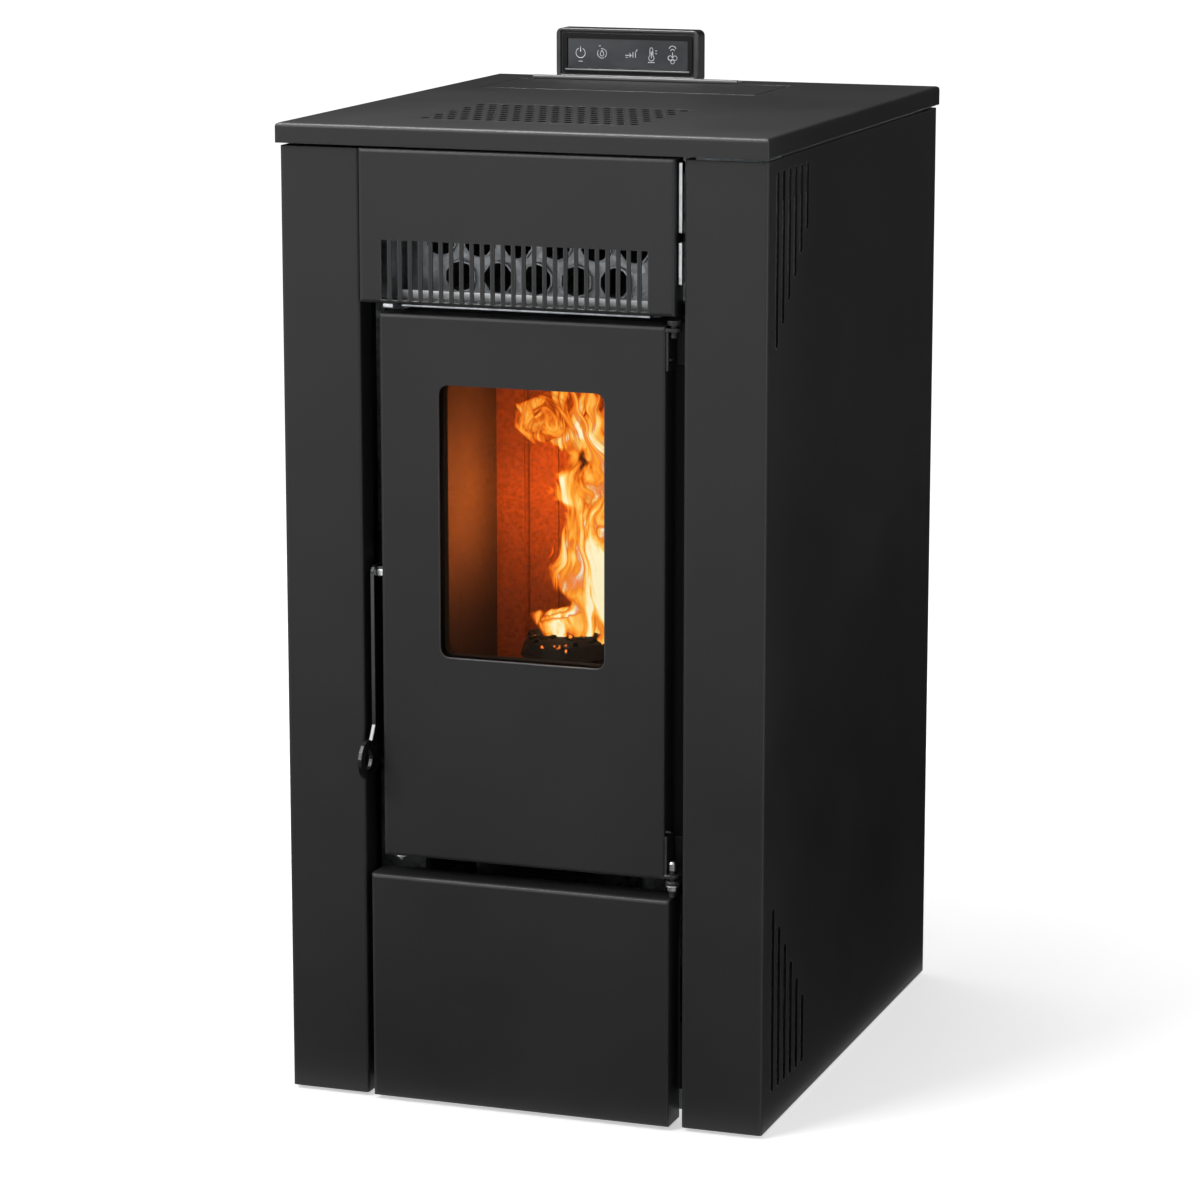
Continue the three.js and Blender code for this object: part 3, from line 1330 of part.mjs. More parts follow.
// ---------------------------------------------------------------------------------------------
// Smoke path: duct, fan housing, impeller, motor and flue outlet
// ---------------------------------------------------------------------------------------------

const fanFront = smokeDuctRear;
const fanRear = fanFront + smokeFanDepth + 2 * ductSheet;
const motorFront = fanRear;

function makeSmokeDuct() {
  const x0 = smokeDuctX;
  const x1 = smokeDuctX + smokeDuctWidth;
  const s = ductSheet;
  const stubEnd = exchangerX0 - seam;
  const outer = box(x0, x1, smokeDuctFront, smokeDuctRear, smokeDuctBottom, smokeDuctTop)
    .add(box(x0, stubEnd, smokeDuctFront, smokeDuctRear, lowerRowZ - drawerRim, smokeDuctTop));
  const inner = box(x0 + s, x1 - s, smokeDuctFront + s, smokeDuctRear - s, smokeDuctBottom + s,
    smokeDuctTop - s)
    .add(box(x0 + s, stubEnd + 1, smokeDuctFront + s, smokeDuctRear - s, lowerRowZ - drawerRim + s,
      smokeDuctTop - s));
  const eye = rod('y', smokeFanX, smokeFanZ, smokeFanEye, smokeDuctRear - s - 1, smokeDuctRear + 1,
    roundSides);
  piece('smoke_duct', cut(outer, [inner, eye]), galvanised);
}

// The scroll's outline, which grows as it turns round the impeller, joined to its outlet chamber.
function scroll(offset, y0, y1) {
  const points = [];
  const steps = 20;
  for (let i = 0; i < steps; i += 1) {
    const angle = (i * 2 * Math.PI) / steps;
    const grown = smokeFanRadius + 6 + scrollGrowth * (i / steps) - offset;
    points.push([smokeFanX + grown * Math.cos(angle), smokeFanZ - grown * Math.sin(angle)]);
  }
  const reach = flueRadius + 6 - offset;
  const chamber = box(smokeFanX, flueX + reach, y0, y1, smokeFanZ - reach, smokeFanZ + reach);
  return prism(points, 'y', y0, y1).add(chamber);
}

function makeSmokeFan() {
  const shell = scroll(0, fanFront, fanRear)
    .subtract(scroll(ductSheet, fanFront + ductSheet, fanRear - ductSheet));
  const holes = [
    rod('y', smokeFanX, smokeFanZ, smokeFanEye, fanFront - 1, fanFront + ductSheet + 1, roundSides),
    rod('y', smokeFanX, smokeFanZ, footStud + seam, fanRear - ductSheet - 1, fanRear + 1),
    rod('y', flueX, smokeFanZ, flueRadius - flueWall, fanRear - ductSheet - 1, fanRear + 1, roundSides),
  ];
  piece('smoke_fan_housing', cut(shell, holes), galvanised);

  const bladeFront = fanFront + ductSheet * 3;
  const bladeRear = fanRear - ductSheet * 3;
  const parts = [
    rod('y', smokeFanX, smokeFanZ, smokeFanRadius, bladeRear - ductSheet, bladeRear, roundSides),
    rod('y', smokeFanX, smokeFanZ, footStud * 2, bladeFront, bladeRear),
    rod('y', smokeFanX, smokeFanZ, footStud, bladeRear - 1, fanRear + footStud * 2),
  ];
  for (let i = 0; i < smokeFanBlades; i += 1) {
    const blade = new THREE.BoxGeometry(smokeFanRadius - footStud * 2, bladeRear - bladeFront - 1, ductSheet);
    blade.translate((smokeFanRadius + footStud * 1.5) / 2, 0, 0);
    blade.rotateY((i * 2 * Math.PI) / smokeFanBlades);
    blade.translate(smokeFanX, (bladeFront + bladeRear) / 2, smokeFanZ);
    parts.push(solidOf(blade));
  }
  piece('smoke_fan_impeller', joined(parts), galvanised);

  const can = rod('y', smokeFanX, smokeFanZ, smokeMotorRadius, motorFront, motorFront + smokeMotorLength,
    roundSides);
  const shaftBore = rod('y', smokeFanX, smokeFanZ, footStud + seam, motorFront - 1,
    motorFront + footStud * 3);
  piece('smoke_fan_motor', can.subtract(shaftBore), blackPlastic);
}

function makeFlueOutlet() {
  const rear = cabinetDepth + flueStub;
  const pipe = tube('y', flueX, smokeFanZ, flueRadius, flueWall, fanRear, rear, roundSides);
  const collarFront = rearPanelFront + ductSheet + seam;
  const collar = tube('y', flueX, smokeFanZ, flueRadius + flueWall * 2, flueWall * 3, collarFront,
    collarFront + flueWall * 2, roundSides);
  piece('flue_outlet', pipe.add(collar), brightSteel);
}

// Combustion air: in at the rear, forward under the firebox and up through its floor.
function airPipeForm(radius, rearEnd, topEnd) {
  const straight = rod('y', airPipeX, airPipeZ, radius, potCentreY + airPipeBend, rearEnd);
  const riser = rod('z', airPipeX, potCentreY, radius, airPipeZ + airPipeBend, topEnd);
  const bend = new THREE.QuadraticBezierCurve3(
    new THREE.Vector3(airPipeX, potCentreY + airPipeBend + 1, airPipeZ),
    new THREE.Vector3(airPipeX, potCentreY, airPipeZ),
    new THREE.Vector3(airPipeX, potCentreY, airPipeZ + airPipeBend + 1));
  const section = new THREE.Shape(circle(0, 0, radius, smallSides).map(([u, v]) => new THREE.Vector2(u, v)));
  const elbow = new THREE.ExtrudeGeometry(section, { steps: 5, extrudePath: bend, bevelEnabled: false });
  return joined([straight, riser, solidOf(elbow)]);
}

function makeAirPipe() {
  const outer = airPipeForm(airPipeRadius, cabinetDepth + airPipeStub, fireboxBottom - seam);
  const inner = airPipeForm(airPipeRadius - airPipeWall, cabinetDepth + airPipeStub + 1, fireboxBottom + 1);
  piece('air_inlet_pipe', outer.subtract(inner), galvanised);
}

makeSmokeDuct();
makeSmokeFan();
makeFlueOutlet();
makeAirPipe();

// ---------------------------------------------------------------------------------------------
// Services: igniter, control board, mains inlet and its rocker switch
// ---------------------------------------------------------------------------------------------

function makeIgniter() {
  const tip = rod('y', potCentreX, igniterZ, igniterRadius, potCentreY + potRadius + 1,
    airDuctRear + igniterTail);
  const holder = rod('y', potCentreX, igniterZ, igniterRadius * 2, airDuctRear + seam,
    airDuctRear + igniterHolder, 6);
  piece('igniter', tip.add(holder), brightSteel);
}

function makeControlBoard() {
  const wall = halfWidth - caseSheet;
  const face = wall - boardStand - boardSheet;
  const y0 = boardRear - boardWidth;
  const z1 = boardBottom + boardHeight;
  const parts = [box(face, face + boardSheet, y0, boardRear, boardBottom, z1)];
  for (const y of [y0 + boardEdge, boardRear - boardEdge]) {
    for (const z of [boardBottom + boardEdge, z1 - boardEdge]) {
      parts.push(rod('x', y, z, footStud - 1, face + 1, wall - seam, 6));
    }
  }
  const fitted = [
    [transformerSize, y0 + 2 * boardEdge, boardBottom + 2 * boardEdge],
    [terminalSize, boardRear - boardEdge - terminalSize[0] - 2 * boardEdge, boardBottom + boardEdge],
    [relaySize, boardRear - 5 * boardEdge - relaySize[0], z1 - 1.5 * boardEdge - relaySize[1]],
  ];
  for (const [[wide, high, tall], y, z] of fitted) {
    parts.push(box(face - tall, face + 1, y, y + wide, z, z + high));
  }
  for (const offset of [capacitorPitch, 2 * capacitorPitch]) {
    parts.push(rod('x', boardRear - offset - boardEdge, (boardBottom + z1) / 2 - boardEdge / 2,
      capacitorRadius,
      face - capacitorHeight, face + 1, 8));
  }
  piece('control_board', joined(parts), circuitGreen);
}

function makeMainsInlet() {
  const rear = rearPanelFront + ductSheet;
  const half = socketWidth / 2;
  const high = socketHeight / 2;
  const wall = 2;
  const flangeBack = rear + wall;
  const body = box(socketX - half, socketX + half, rear - socketDepth, flangeBack, socketZ - high,
    socketZ + high);
  const flange = box(socketX - half - wall * 2, socketX + half + wall * 2, rear + seam / 2, flangeBack,
    socketZ - high - wall * 2, socketZ + high + wall * 2);
  const split = socketX - half + rockerWidth + wall * 2;
  const socket = box(split + wall, socketX + half - wall, flangeBack - socketDepth + wall * 2, flangeBack + 1,
    socketZ - high + wall * 2, socketZ + high - wall * 2);
  const switchWell = box(socketX - half + wall, split, flangeBack - rockerWidth * 0.8, flangeBack + 1,
    socketZ - rockerHeight / 2 - seam * 2, socketZ + rockerHeight / 2 + seam * 2);
  piece('mains_inlet', cut(body.add(flange), [socket, switchWell]), blackPlastic);

  const rockerX = (socketX - half + wall + split) / 2;
  const lift = (rockerWidth / 2) * Math.tan(THREE.MathUtils.degToRad(rockerTravel));
  const halfRocker = rockerWidth / 2;
  const deep = rockerWidth * 0.3;
  const outline = [
    [rockerX - halfRocker, flangeBack - deep], [rockerX - halfRocker, flangeBack],
    [rockerX, flangeBack], [rockerX + halfRocker, flangeBack + lift],
    [rockerX + halfRocker, flangeBack - deep], [rockerX, flangeBack - deep - lift],
  ];
  piece('rocker_switch', prism(outline, 'z', socketZ - rockerHeight / 2, socketZ + rockerHeight / 2),
    blackEnamel);
}

makeIgniter();
makeControlBoard();
makeMainsInlet();

// ---------------------------------------------------------------------------------------------
// Display at the rear of the top
// ---------------------------------------------------------------------------------------------

function makeDisplay() {
  const half = displayWidth / 2;
  const y1 = cabinetDepth;
  const y0 = y1 - displayDepth;
  const z0 = cabinetHeight;
  const z1 = cabinetHeight + displayHeight;
  const middle = (z0 + z1) / 2;
  const recess = displayRim;
  const body = prism(rounded(displayCentreX - half, displayCentreX + half, z0, z1,
    [2, 2, displayRadius, displayRadius]), 'y', y0, y1);
  const well = prism(roundedAll(displayCentreX - half + recess, displayCentreX + half - recess,
    z0 + recess, z1 - recess, displayRadius - recess), 'y', y0 - 1, y0 + screenThickness / 2);
  const seat = box(displayCentreX - screenWidth / 2 - seam, displayCentreX + screenWidth / 2 + seam, y0 - 1,
    y0 + screenThickness * 2, middle - screenHeight / 2 - seam, middle + screenHeight / 2 + seam);
  piece('display_housing', cut(body, [well, seat]), blackPlastic);
  piece('display_screen', box(displayCentreX - screenWidth / 2, displayCentreX + screenWidth / 2,
    y0 + screenThickness / 2, y0 + screenThickness * 2, middle - screenHeight / 2, middle + screenHeight / 2),
  displayGlass);
}

makeDisplay();

// ---------------------------------------------------------------------------------------------
// The origin lies under the middle of the overall depth, from the lever's eye to the flue's end
// ---------------------------------------------------------------------------------------------

const overallFront = eyeCentreY - eyeOuter;
const overallRear = cabinetDepth + flueStub;
stove.position.y = -(overallFront + overallRear) / 2;

export default stove;
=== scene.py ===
"""A pellet stove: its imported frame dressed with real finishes, small fixings, pellets and fire."""
import math
import random

import bmesh
import bpy
from mathutils import Matrix, Vector


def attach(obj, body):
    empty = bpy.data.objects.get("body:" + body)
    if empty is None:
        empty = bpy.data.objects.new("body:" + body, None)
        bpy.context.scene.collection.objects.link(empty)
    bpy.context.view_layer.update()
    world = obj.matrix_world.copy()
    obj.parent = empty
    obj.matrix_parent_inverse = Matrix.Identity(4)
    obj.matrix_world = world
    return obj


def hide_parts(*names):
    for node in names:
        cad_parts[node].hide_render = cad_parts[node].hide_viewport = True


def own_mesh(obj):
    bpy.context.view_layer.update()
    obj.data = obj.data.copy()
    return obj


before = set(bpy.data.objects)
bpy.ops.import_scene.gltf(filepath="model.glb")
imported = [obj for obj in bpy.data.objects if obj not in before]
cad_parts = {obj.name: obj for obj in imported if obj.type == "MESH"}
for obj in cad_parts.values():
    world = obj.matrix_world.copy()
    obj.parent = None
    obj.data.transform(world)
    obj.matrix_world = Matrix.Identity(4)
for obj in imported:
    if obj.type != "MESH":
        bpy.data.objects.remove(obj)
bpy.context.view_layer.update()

scene = bpy.context.scene

# --------------------------------
# Studio. A pale floor that runs out of sight, a white surround, soft lamps,
# black flags that the satin sheet mirrors, and the camera at the photograph's
# place: to the right of the front and a little above the cover.

CAMERA_PLACE = (1.3993, -4.0585, 1.3353)
CAMERA_YAW = 0.33777
CAMERA_PITCH = -0.20316
CAMERA_LENS = 129.63
FLOOR_REACH = 40.0
FLOOR_NEAR, FLOOR_FAR = 0.3, 2.2  # distances between which the floor turns to the page's white
SURROUND_GREY = 0.32
NODES_IN_COLUMN, COLUMN_WIDTH, ROW_HEIGHT = 5, 220, 300
FLAG_LIFT = 0.002  # the floor flags lie this far above the floor
FLAG_NEAR, FLAG_GAP = 0.252, 0.42  # the side flags' distances from the middle of the stove
FLAG_FRONT, FLAG_BACK, FLAG_TOP = -0.28, 2.6, 1.7

scene.view_settings.view_transform = "Standard"


def node(tree, kind, **values):
    """Adds a shader node. Values go to the settings or sockets that they name; _0 is the first socket."""
    made = tree.nodes.new("ShaderNode" + kind)
    column, row = divmod(len(tree.nodes), NODES_IN_COLUMN)
    made.location = (column * COLUMN_WIDTH, -row * ROW_HEIGHT)
    for key, value in values.items():
        name = key.replace("_", " ")
        if key[1:].isdigit():
            made.inputs[int(key[1:])].default_value = value
        elif name in made.inputs:
            made.inputs[name].default_value = value
        else:
            setattr(made, key, value)
    return made


def wire(tree, *pairs):
    """Links sockets, each pair given as from_node, output, to_node, input."""
    for source, output, target, socket in pairs:
        tree.links.new(source.outputs[output], target.inputs[socket])


def new_finish(name, **values):
    """A new material, its node tree and its Principled BSDF with the values given."""
    material = bpy.data.materials.new(name)
    material.use_nodes = True
    shader = material.node_tree.nodes["Principled BSDF"]
    for key, value in values.items():
        shader.inputs[key.replace("_", " ")].default_value = value
    return material, material.node_tree, shader


def seen_rays(tree):
    """1 for what the camera, gloss and glass see, and 0 for the light that falls on the stove."""
    path = node(tree, "LightPath")
    seen = node(tree, "Math", operation="ADD")
    seen_all = node(tree, "Math", operation="ADD", use_clamp=True)
    wire(tree,
         (path, "Is Camera Ray", seen, 0), (path, "Is Glossy Ray", seen, 1), (seen, "Value", seen_all, 0),
         (path, "Is Transmission Ray", seen_all, 1))
    return seen_all


def floor_finish():
    """A matt white floor. What the camera and gloss see of it is lifted to the page's white."""
    material, tree, _ = new_finish("studio_floor")
    tree.nodes.clear()
    out = node(tree, "OutputMaterial")
    place = node(tree, "TexCoord")
    reach = node(tree, "VectorMath", operation="LENGTH")
    fade = node(tree, "MapRange", From_Min=FLOOR_NEAR, From_Max=FLOOR_FAR, To_Min=0.52, To_Max=0.78)
    speck = node(tree, "TexNoise", Scale=3.0, Detail=3.0)
    shade = node(tree, "ValToRGB")
    shade.color_ramp.elements[0].color = (0.86, 0.86, 0.86, 1)
    shade.color_ramp.elements[1].color = (0.90, 0.90, 0.90, 1)
    matt = node(tree, "BsdfPrincipled", Roughness=0.9, Specular_IOR_Level=0.1)
    seen = seen_rays(tree)
    glow = node(tree, "Emission", Color=(1, 1, 1, 1))
    lift = node(tree, "Math", operation="MULTIPLY")
    both = node(tree, "AddShader")
    wire(tree,
         (place, "Object", reach, 0), (reach, "Value", fade, "Value"), (place, "Object", speck, "Vector"),
         (speck, "Fac", shade, "Fac"), (shade, "Color", matt, "Base Color"), (seen, "Value", lift, 0),
         (fade, "Result", lift, 1), (lift, "Value", glow, "Strength"), (matt, "BSDF", both, 0),
         (glow, "Emission", both, 1), (both, "Shader", out, "Surface"))
    return material


def add_sheet(name, corners, finish):
    """A flat sheet of four corners that belongs to the studio."""
    mesh = bpy.data.meshes.new(name)
    mesh.from_pydata(corners, [], [(0, 1, 2, 3)])
    mesh.materials.append(finish)
    sheet = bpy.data.objects.new(name, mesh)
    scene.collection.objects.link(sheet)
    return sheet


def level_sheet(low_x, low_y, high_x, high_y, height):
    """The corners of a sheet that lies level."""
    flat = (low_x, low_y), (high_x, low_y), (high_x, high_y), (low_x, high_y)
    return [(*corner, height) for corner in flat]


def make_surround():
    world = bpy.data.worlds.new("surround")
    scene.world = world
    world.use_nodes = True
    tree = world.node_tree
    tree.nodes.clear()
    out = node(tree, "OutputWorld")
    seen = seen_rays(tree)
    strength = node(tree, "MapRange", To_Min=SURROUND_GREY, To_Max=1.0)
    back = node(tree, "Background", Color=(1, 1, 1, 1))
    wire(tree,
         (seen, "Value", strength, "Value"), (strength, "Result", back, "Strength"),
         (back, "Background", out, "Surface"))


def add_lamp(name, place, target, width, height, power, matt=True):
    """An area lamp; with matt off it only puts a sheen on what mirrors it."""
    light = bpy.data.lights.new(name, "AREA")
    light.shape = "RECTANGLE"
    light.size, light.size_y = width, height
    light.energy = power
    lamp = bpy.data.objects.new(name, light)
    lamp.location = place
    lamp.rotation_mode = "QUATERNION"
    lamp.rotation_quaternion = (Vector(target) - Vector(place)).to_track_quat("-Z", "Y")
    lamp.visible_diffuse = matt
    scene.collection.objects.link(lamp)


def add_flag(name, corners):
    """A black cloth that only gloss sees, so that satin sides don't mirror the white room."""
    cloth, _, _ = new_finish(name, Base_Color=(0.01, 0.01, 0.01, 1), Specular_IOR_Level=0.0)
    flag = add_sheet(name, corners, cloth)
    flag.visible_camera = flag.visible_diffuse = flag.visible_shadow = flag.visible_transmission = False


def add_camera():
    lens = bpy.data.cameras.new("camera")
    lens.lens = CAMERA_LENS
    lens.sensor_width = 36.0
    lens.clip_end = 100.0
    camera = bpy.data.objects.new("camera", lens)
    sin_yaw, cos_yaw = math.sin(CAMERA_YAW), math.cos(CAMERA_YAW)
    sin_pitch, cos_pitch = math.sin(CAMERA_PITCH), math.cos(CAMERA_PITCH)
    forward = Vector((-sin_yaw * cos_pitch, cos_yaw * cos_pitch, sin_pitch))
    right = Vector((cos_yaw, sin_yaw, 0))
    up = right.cross(forward)
    turn = Matrix((right, up, -forward)).transposed().to_4x4()
    camera.matrix_world = Matrix.Translation(CAMERA_PLACE) @ turn
    scene.collection.objects.link(camera)
    scene.camera = camera


add_sheet("floor", level_sheet(-FLOOR_REACH, -FLOOR_REACH, FLOOR_REACH, FLOOR_REACH, 0), floor_finish())
make_surround()
add_lamp("key", (-1.9, -2.9, 2.9), (0, -0.2, 0.75), 1.6, 1.2, 99)
add_lamp("overhead", (-0.35, 0.2, 2.5), (0, 0.1, 0.9), 1.1, 1.1, 12)
add_lamp("side", (3.4, 0.2, 0.9), (0, 0, 0.4), 1.2, 1.6, 32)
add_lamp("bend_sheen", (-0.65, -0.35, 2.6), (0, -0.3, 0.8), 1.0, 0.7, 85, matt=False)
for side in (-1, 1):
    near, beside = side * FLAG_NEAR, side * FLAG_GAP
    add_flag("flag_side_" + str(side), [(beside, FLAG_FRONT, 0), (beside, FLAG_BACK, 0),
                                        (beside, FLAG_BACK, FLAG_TOP), (beside, FLAG_FRONT, FLAG_TOP)])
    add_flag("flag_floor_" + str(side), level_sheet(near, FLAG_FRONT - 0.01, beside, FLAG_BACK, FLAG_LIFT))
add_flag("flag_floor_front", level_sheet(-1.9, -1.95, 1.2, -0.33, FLAG_LIFT))
add_flag("flag_rear", [(-1.6, 0.95, 1.02), (1.6, 0.95, 1.02), (1.6, 0.95, 2.8), (-1.6, 0.95, 2.8)])
add_camera()

# --------------------------------
# Effects that several finishes share: rounded edges in another colour for
# wear and a painted highlight, a fine grain, a broad, cloudy change of shade,
# and painted shade inside the walls of holes.


def new_group(name, inputs, outputs):
    group = bpy.data.node_groups.new(name, "ShaderNodeTree")
    for title, value in inputs:
        socket = group.interface.new_socket(title, in_out="INPUT", socket_type="NodeSocketFloat")
        socket.default_value = value
    for title, kind in outputs:
        group.interface.new_socket(title, in_out="OUTPUT", socket_type="NodeSocket" + kind)
    inlet = group.nodes.new("NodeGroupInput")
    outlet = group.nodes.new("NodeGroupOutput")
    return group, inlet, outlet


def edge_group():
    """Finds edges from a bevelled normal: a mask of edges for wear and a painted highlight, and the rounded
    normal.
    """
    group, inlet, outlet = new_group(
        "edge_wear_and_sheen", [("Radius", 0.0012), ("Patchiness", 0.5), ("Patch Scale", 60.0)],
        [("Mask", "Float"), ("Normal", "Vector")])
    soft = node(group, "Bevel", samples=4)
    shape = node(group, "NewGeometry")
    facing = node(group, "VectorMath", operation="DOT_PRODUCT")
    turned = node(group, "MapRange", From_Min=0.995, From_Max=0.80)
    place = node(group, "TexCoord")
    patch = node(group, "TexNoise", Detail=4.0, Roughness=0.65)
    chip = node(group, "MapRange", From_Min=0.35, From_Max=0.62)
    solid = node(group, "Math", operation="SUBTRACT", _0=1.0)
    keep = node(group, "Math", operation="MULTIPLY_ADD")
    mask = node(group, "Math", operation="MULTIPLY", use_clamp=True)
    wire(group,
         (inlet, "Radius", soft, "Radius"), (soft, "Normal", facing, 0), (shape, "Normal", facing, 1),
         (facing, "Value", turned, "Value"), (place, "Object", patch, "Vector"),
         (inlet, "Patch Scale", patch, "Scale"), (patch, "Fac", chip, "Value"),
         (inlet, "Patchiness", solid, 1), (chip, "Result", keep, 0), (inlet, "Patchiness", keep, 1),
         (solid, "Value", keep, 2), (turned, "Result", mask, 0), (keep, "Value", mask, 1),
         (mask, "Value", outlet, "Mask"), (soft, "Normal", outlet, "Normal"))
    return group


def grain_group():
    """A fine surface grain as a height, and a slow cloudy shade from 0 to 1."""
    group, inlet, outlet = new_group(
        "surface_grain", [("Grain Scale", 1400.0), ("Cloud Scale", 6.0), ("Fine Share", 0.5)],
        [("Height", "Float"), ("Cloud", "Float")])
    place = node(group, "TexCoord")
    fine = node(group, "TexNoise", Detail=2.0, Roughness=0.6)
    finer = node(group, "Math", operation="MULTIPLY", _1=2.7)
    finest = node(group, "TexNoise", Detail=1.0)
    mixed = node(group, "Mix")
    cloud = node(group, "TexNoise", Detail=5.0, Roughness=0.55)
    even = node(group, "MapRange", From_Min=0.32, From_Max=0.68)
    wire(group,
         (place, "Object", fine, "Vector"), (inlet, "Grain Scale", fine, "Scale"),
         (inlet, "Grain Scale", finer, 0), (place, "Object", finest, "Vector"),
         (finer, "Value", finest, "Scale"), (inlet, "Fine Share", mixed, "Factor"), (fine, "Fac", mixed, "A"),
         (finest, "Fac", mixed, "B"), (mixed, "Result", outlet, "Height"), (place, "Object", cloud, "Vector"),
         (inlet, "Cloud Scale", cloud, "Scale"), (cloud, "Fac", even, "Value"),
         (even, "Result", outlet, "Cloud"))
    return group


def hole_group():
    """Masks what lies inside a sheet's thickness, where holes get painted shade: all three coordinates within
    Half of Middle.
    """
    group, inlet, outlet = new_group("hole_wall", [], [("Mask", "Float")])
    for title in ("Middle", "Half"):
        group.interface.new_socket(title, in_out="INPUT", socket_type="NodeSocketVector")
    place = node(group, "TexCoord")
    mirrored = node(group, "VectorMath", operation="ABSOLUTE")
    away = node(group, "VectorMath", operation="SUBTRACT")
    reach = node(group, "VectorMath", operation="ABSOLUTE")
    spare = node(group, "VectorMath", operation="SUBTRACT")
    axes = node(group, "SeparateXYZ")
    least = node(group, "Math", operation="MINIMUM")
    least_all = node(group, "Math", operation="MINIMUM")
    within = node(group, "Math", operation="GREATER_THAN", _1=0.0)
    wire(group,
         (place, "Object", mirrored, 0), (mirrored, "Vector", away, 0), (inlet, "Middle", away, 1),
         (away, "Vector", reach, 0), (inlet, "Half", spare, 0), (reach, "Vector", spare, 1),
         (spare, "Vector", axes, "Vector"), (axes, "X", least, 0), (axes, "Y", least, 1),
         (least, "Value", least_all, 0), (axes, "Z", least_all, 1), (least_all, "Value", within, 0),
         (within, "Value", outlet, "Mask"))
    return group


edge_wear_and_sheen = edge_group()
surface_grain = grain_group()
hole_wall = hole_group()
HOLE_SHADE = (0.0006, 0.0006, 0.0006)


def blend_colours(tree, low, high):
    """A colour mix with its two ends; its factor is left to be wired."""
    return node(tree, "Mix", data_type="RGBA", A=(*low, 1), B=(*high, 1))


def grain_node(tree, grain_scale, cloud_scale):
    return node(tree, "Group", node_tree=surface_grain, Grain_Scale=grain_scale, Cloud_Scale=cloud_scale)


def coat(name, low, high, worn_and_lit, rough=(0.4, 0.5), worn_rough=0.3, metal=0.0, specular=0.5,
         grain=(1400.0, 0.00006), cloud=6.0, edge=0.0012, patchiness=0.4, edge_amount=1.0, cut=None):
    """A coated or bare surface: cloudy shade, fine grain, and edges in another colour, for wear and a painted
    highlight.

    cut is the middle and half thickness of a pierced sheet, as vectors; the walls of its holes get painted
    shade.
    """
    material, tree, shader = new_finish(name, Metallic=metal, Specular_IOR_Level=specular)
    edges = node(tree, "Group", node_tree=edge_wear_and_sheen, Radius=edge, Patchiness=patchiness)
    grains = grain_node(tree, grain[0], cloud)
    shade = blend_colours(tree, low, high)
    worn_and_lit_shade = blend_colours(tree, low, worn_and_lit)
    amount = node(tree, "Math", operation="MULTIPLY", _1=edge_amount)
    dull = node(tree, "MapRange", To_Min=rough[0], To_Max=rough[1])
    polish = node(tree, "Mix", B=worn_rough)
    bump = node(tree, "Bump", Distance=grain[1])
    wire(tree,
         (grains, "Cloud", shade, "Factor"), (edges, "Mask", amount, 0),
         (amount, "Value", worn_and_lit_shade, "Factor"), (shade, "Result", worn_and_lit_shade, "A"),
         (worn_and_lit_shade, "Result", shader, "Base Color"), (grains, "Cloud", dull, "Value"),
         (dull, "Result", polish, "A"), (amount, "Value", polish, "Factor"),
         (polish, "Result", shader, "Roughness"), (grains, "Height", bump, "Height"),
         (edges, "Normal", bump, "Normal"), (bump, "Normal", shader, "Normal"))
    # Painted shade: the walls of the holes turn almost black and matt.
    if cut:
        walls = node(tree, "Group", node_tree=hole_wall, Middle=cut[0], Half=cut[1])
        shaded = blend_colours(tree, low, HOLE_SHADE)
        matt = node(tree, "Mix", B=1.0)
        wire(tree,
             (worn_and_lit_shade, "Result", shaded, "A"), (walls, "Mask", shaded, "Factor"),
             (shaded, "Result", shader, "Base Color"), (polish, "Result", matt, "A"),
             (walls, "Mask", matt, "Factor"), (matt, "Result", shader, "Roughness"))
    return material


def dress(material, *names):
    """Gives every material slot of the named CAD nodes one finish."""
    for name in names:
        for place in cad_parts[name].material_slots:
            place.material = material


# --------------------------------
# Base tray, rear panel, ducts and hopper. Hot-dip galvanised sheet, cut,
# folded and spot-welded; the zinc freezes in flat crystals of a few mm.

ZINC_DARK = (0.30, 0.315, 0.33)
ZINC_LIGHT = (0.50, 0.52, 0.54)
SPANGLE_SCALE = 170.0
OXIDE_SHARE = 0.45


def zinc_finish(name, dark, light, rough):
    """Zinc with crystals, each of its own shade and gloss, and a faint cloud of oxide."""
    material, tree, shader = new_finish(name, Metallic=1.0)
    place = node(tree, "TexCoord")
    bend = node(tree, "TexNoise", Scale=90.0, Detail=2.0)
    bent = node(tree, "Mix", data_type="VECTOR", Factor=0.012)
    crystal = node(tree, "TexVoronoi", Scale=SPANGLE_SCALE)
    grey = node(tree, "SeparateColor")
    shade = blend_colours(tree, dark, light)
    grains = grain_node(tree, 800.0, 9.0)
    dusty = blend_colours(tree, dark, dark)
    cover = node(tree, "Math", operation="MULTIPLY", _1=OXIDE_SHARE)
    dull = node(tree, "MapRange", To_Min=rough[0], To_Max=rough[1])
    bump = node(tree, "Bump", Distance=0.00004)
    edges = node(tree, "Group", node_tree=edge_wear_and_sheen)
    wire(tree,
         (place, "Object", bend, "Vector"), (place, "Object", bent, "A"), (bend, "Color", bent, "B"),
         (bent, "Result", crystal, "Vector"), (crystal, "Color", grey, "Color"),
         (grey, "Red", shade, "Factor"), (grains, "Cloud", cover, 0), (cover, "Value", dusty, "Factor"),
         (shade, "Result", dusty, "A"), (dusty, "Result", shader, "Base Color"),
         (grey, "Green", dull, "Value"), (dull, "Result", shader, "Roughness"),
         (grains, "Height", bump, "Height"), (edges, "Normal", bump, "Normal"),
         (bump, "Normal", shader, "Normal"))
    return material


galvanised = zinc_finish("galvanised_sheet", ZINC_DARK, ZINC_LIGHT, (0.30, 0.52))
dress(galvanised, "base_tray", "rear_panel", "ash_drawer", "heat_exchanger", "air_plenum", "rear_air_duct",
      "room_fan_housing", "room_fan_impeller", "hopper", "hopper_guard", "auger_tube", "smoke_duct",
      "smoke_fan_housing", "smoke_fan_impeller", "air_inlet_pipe")
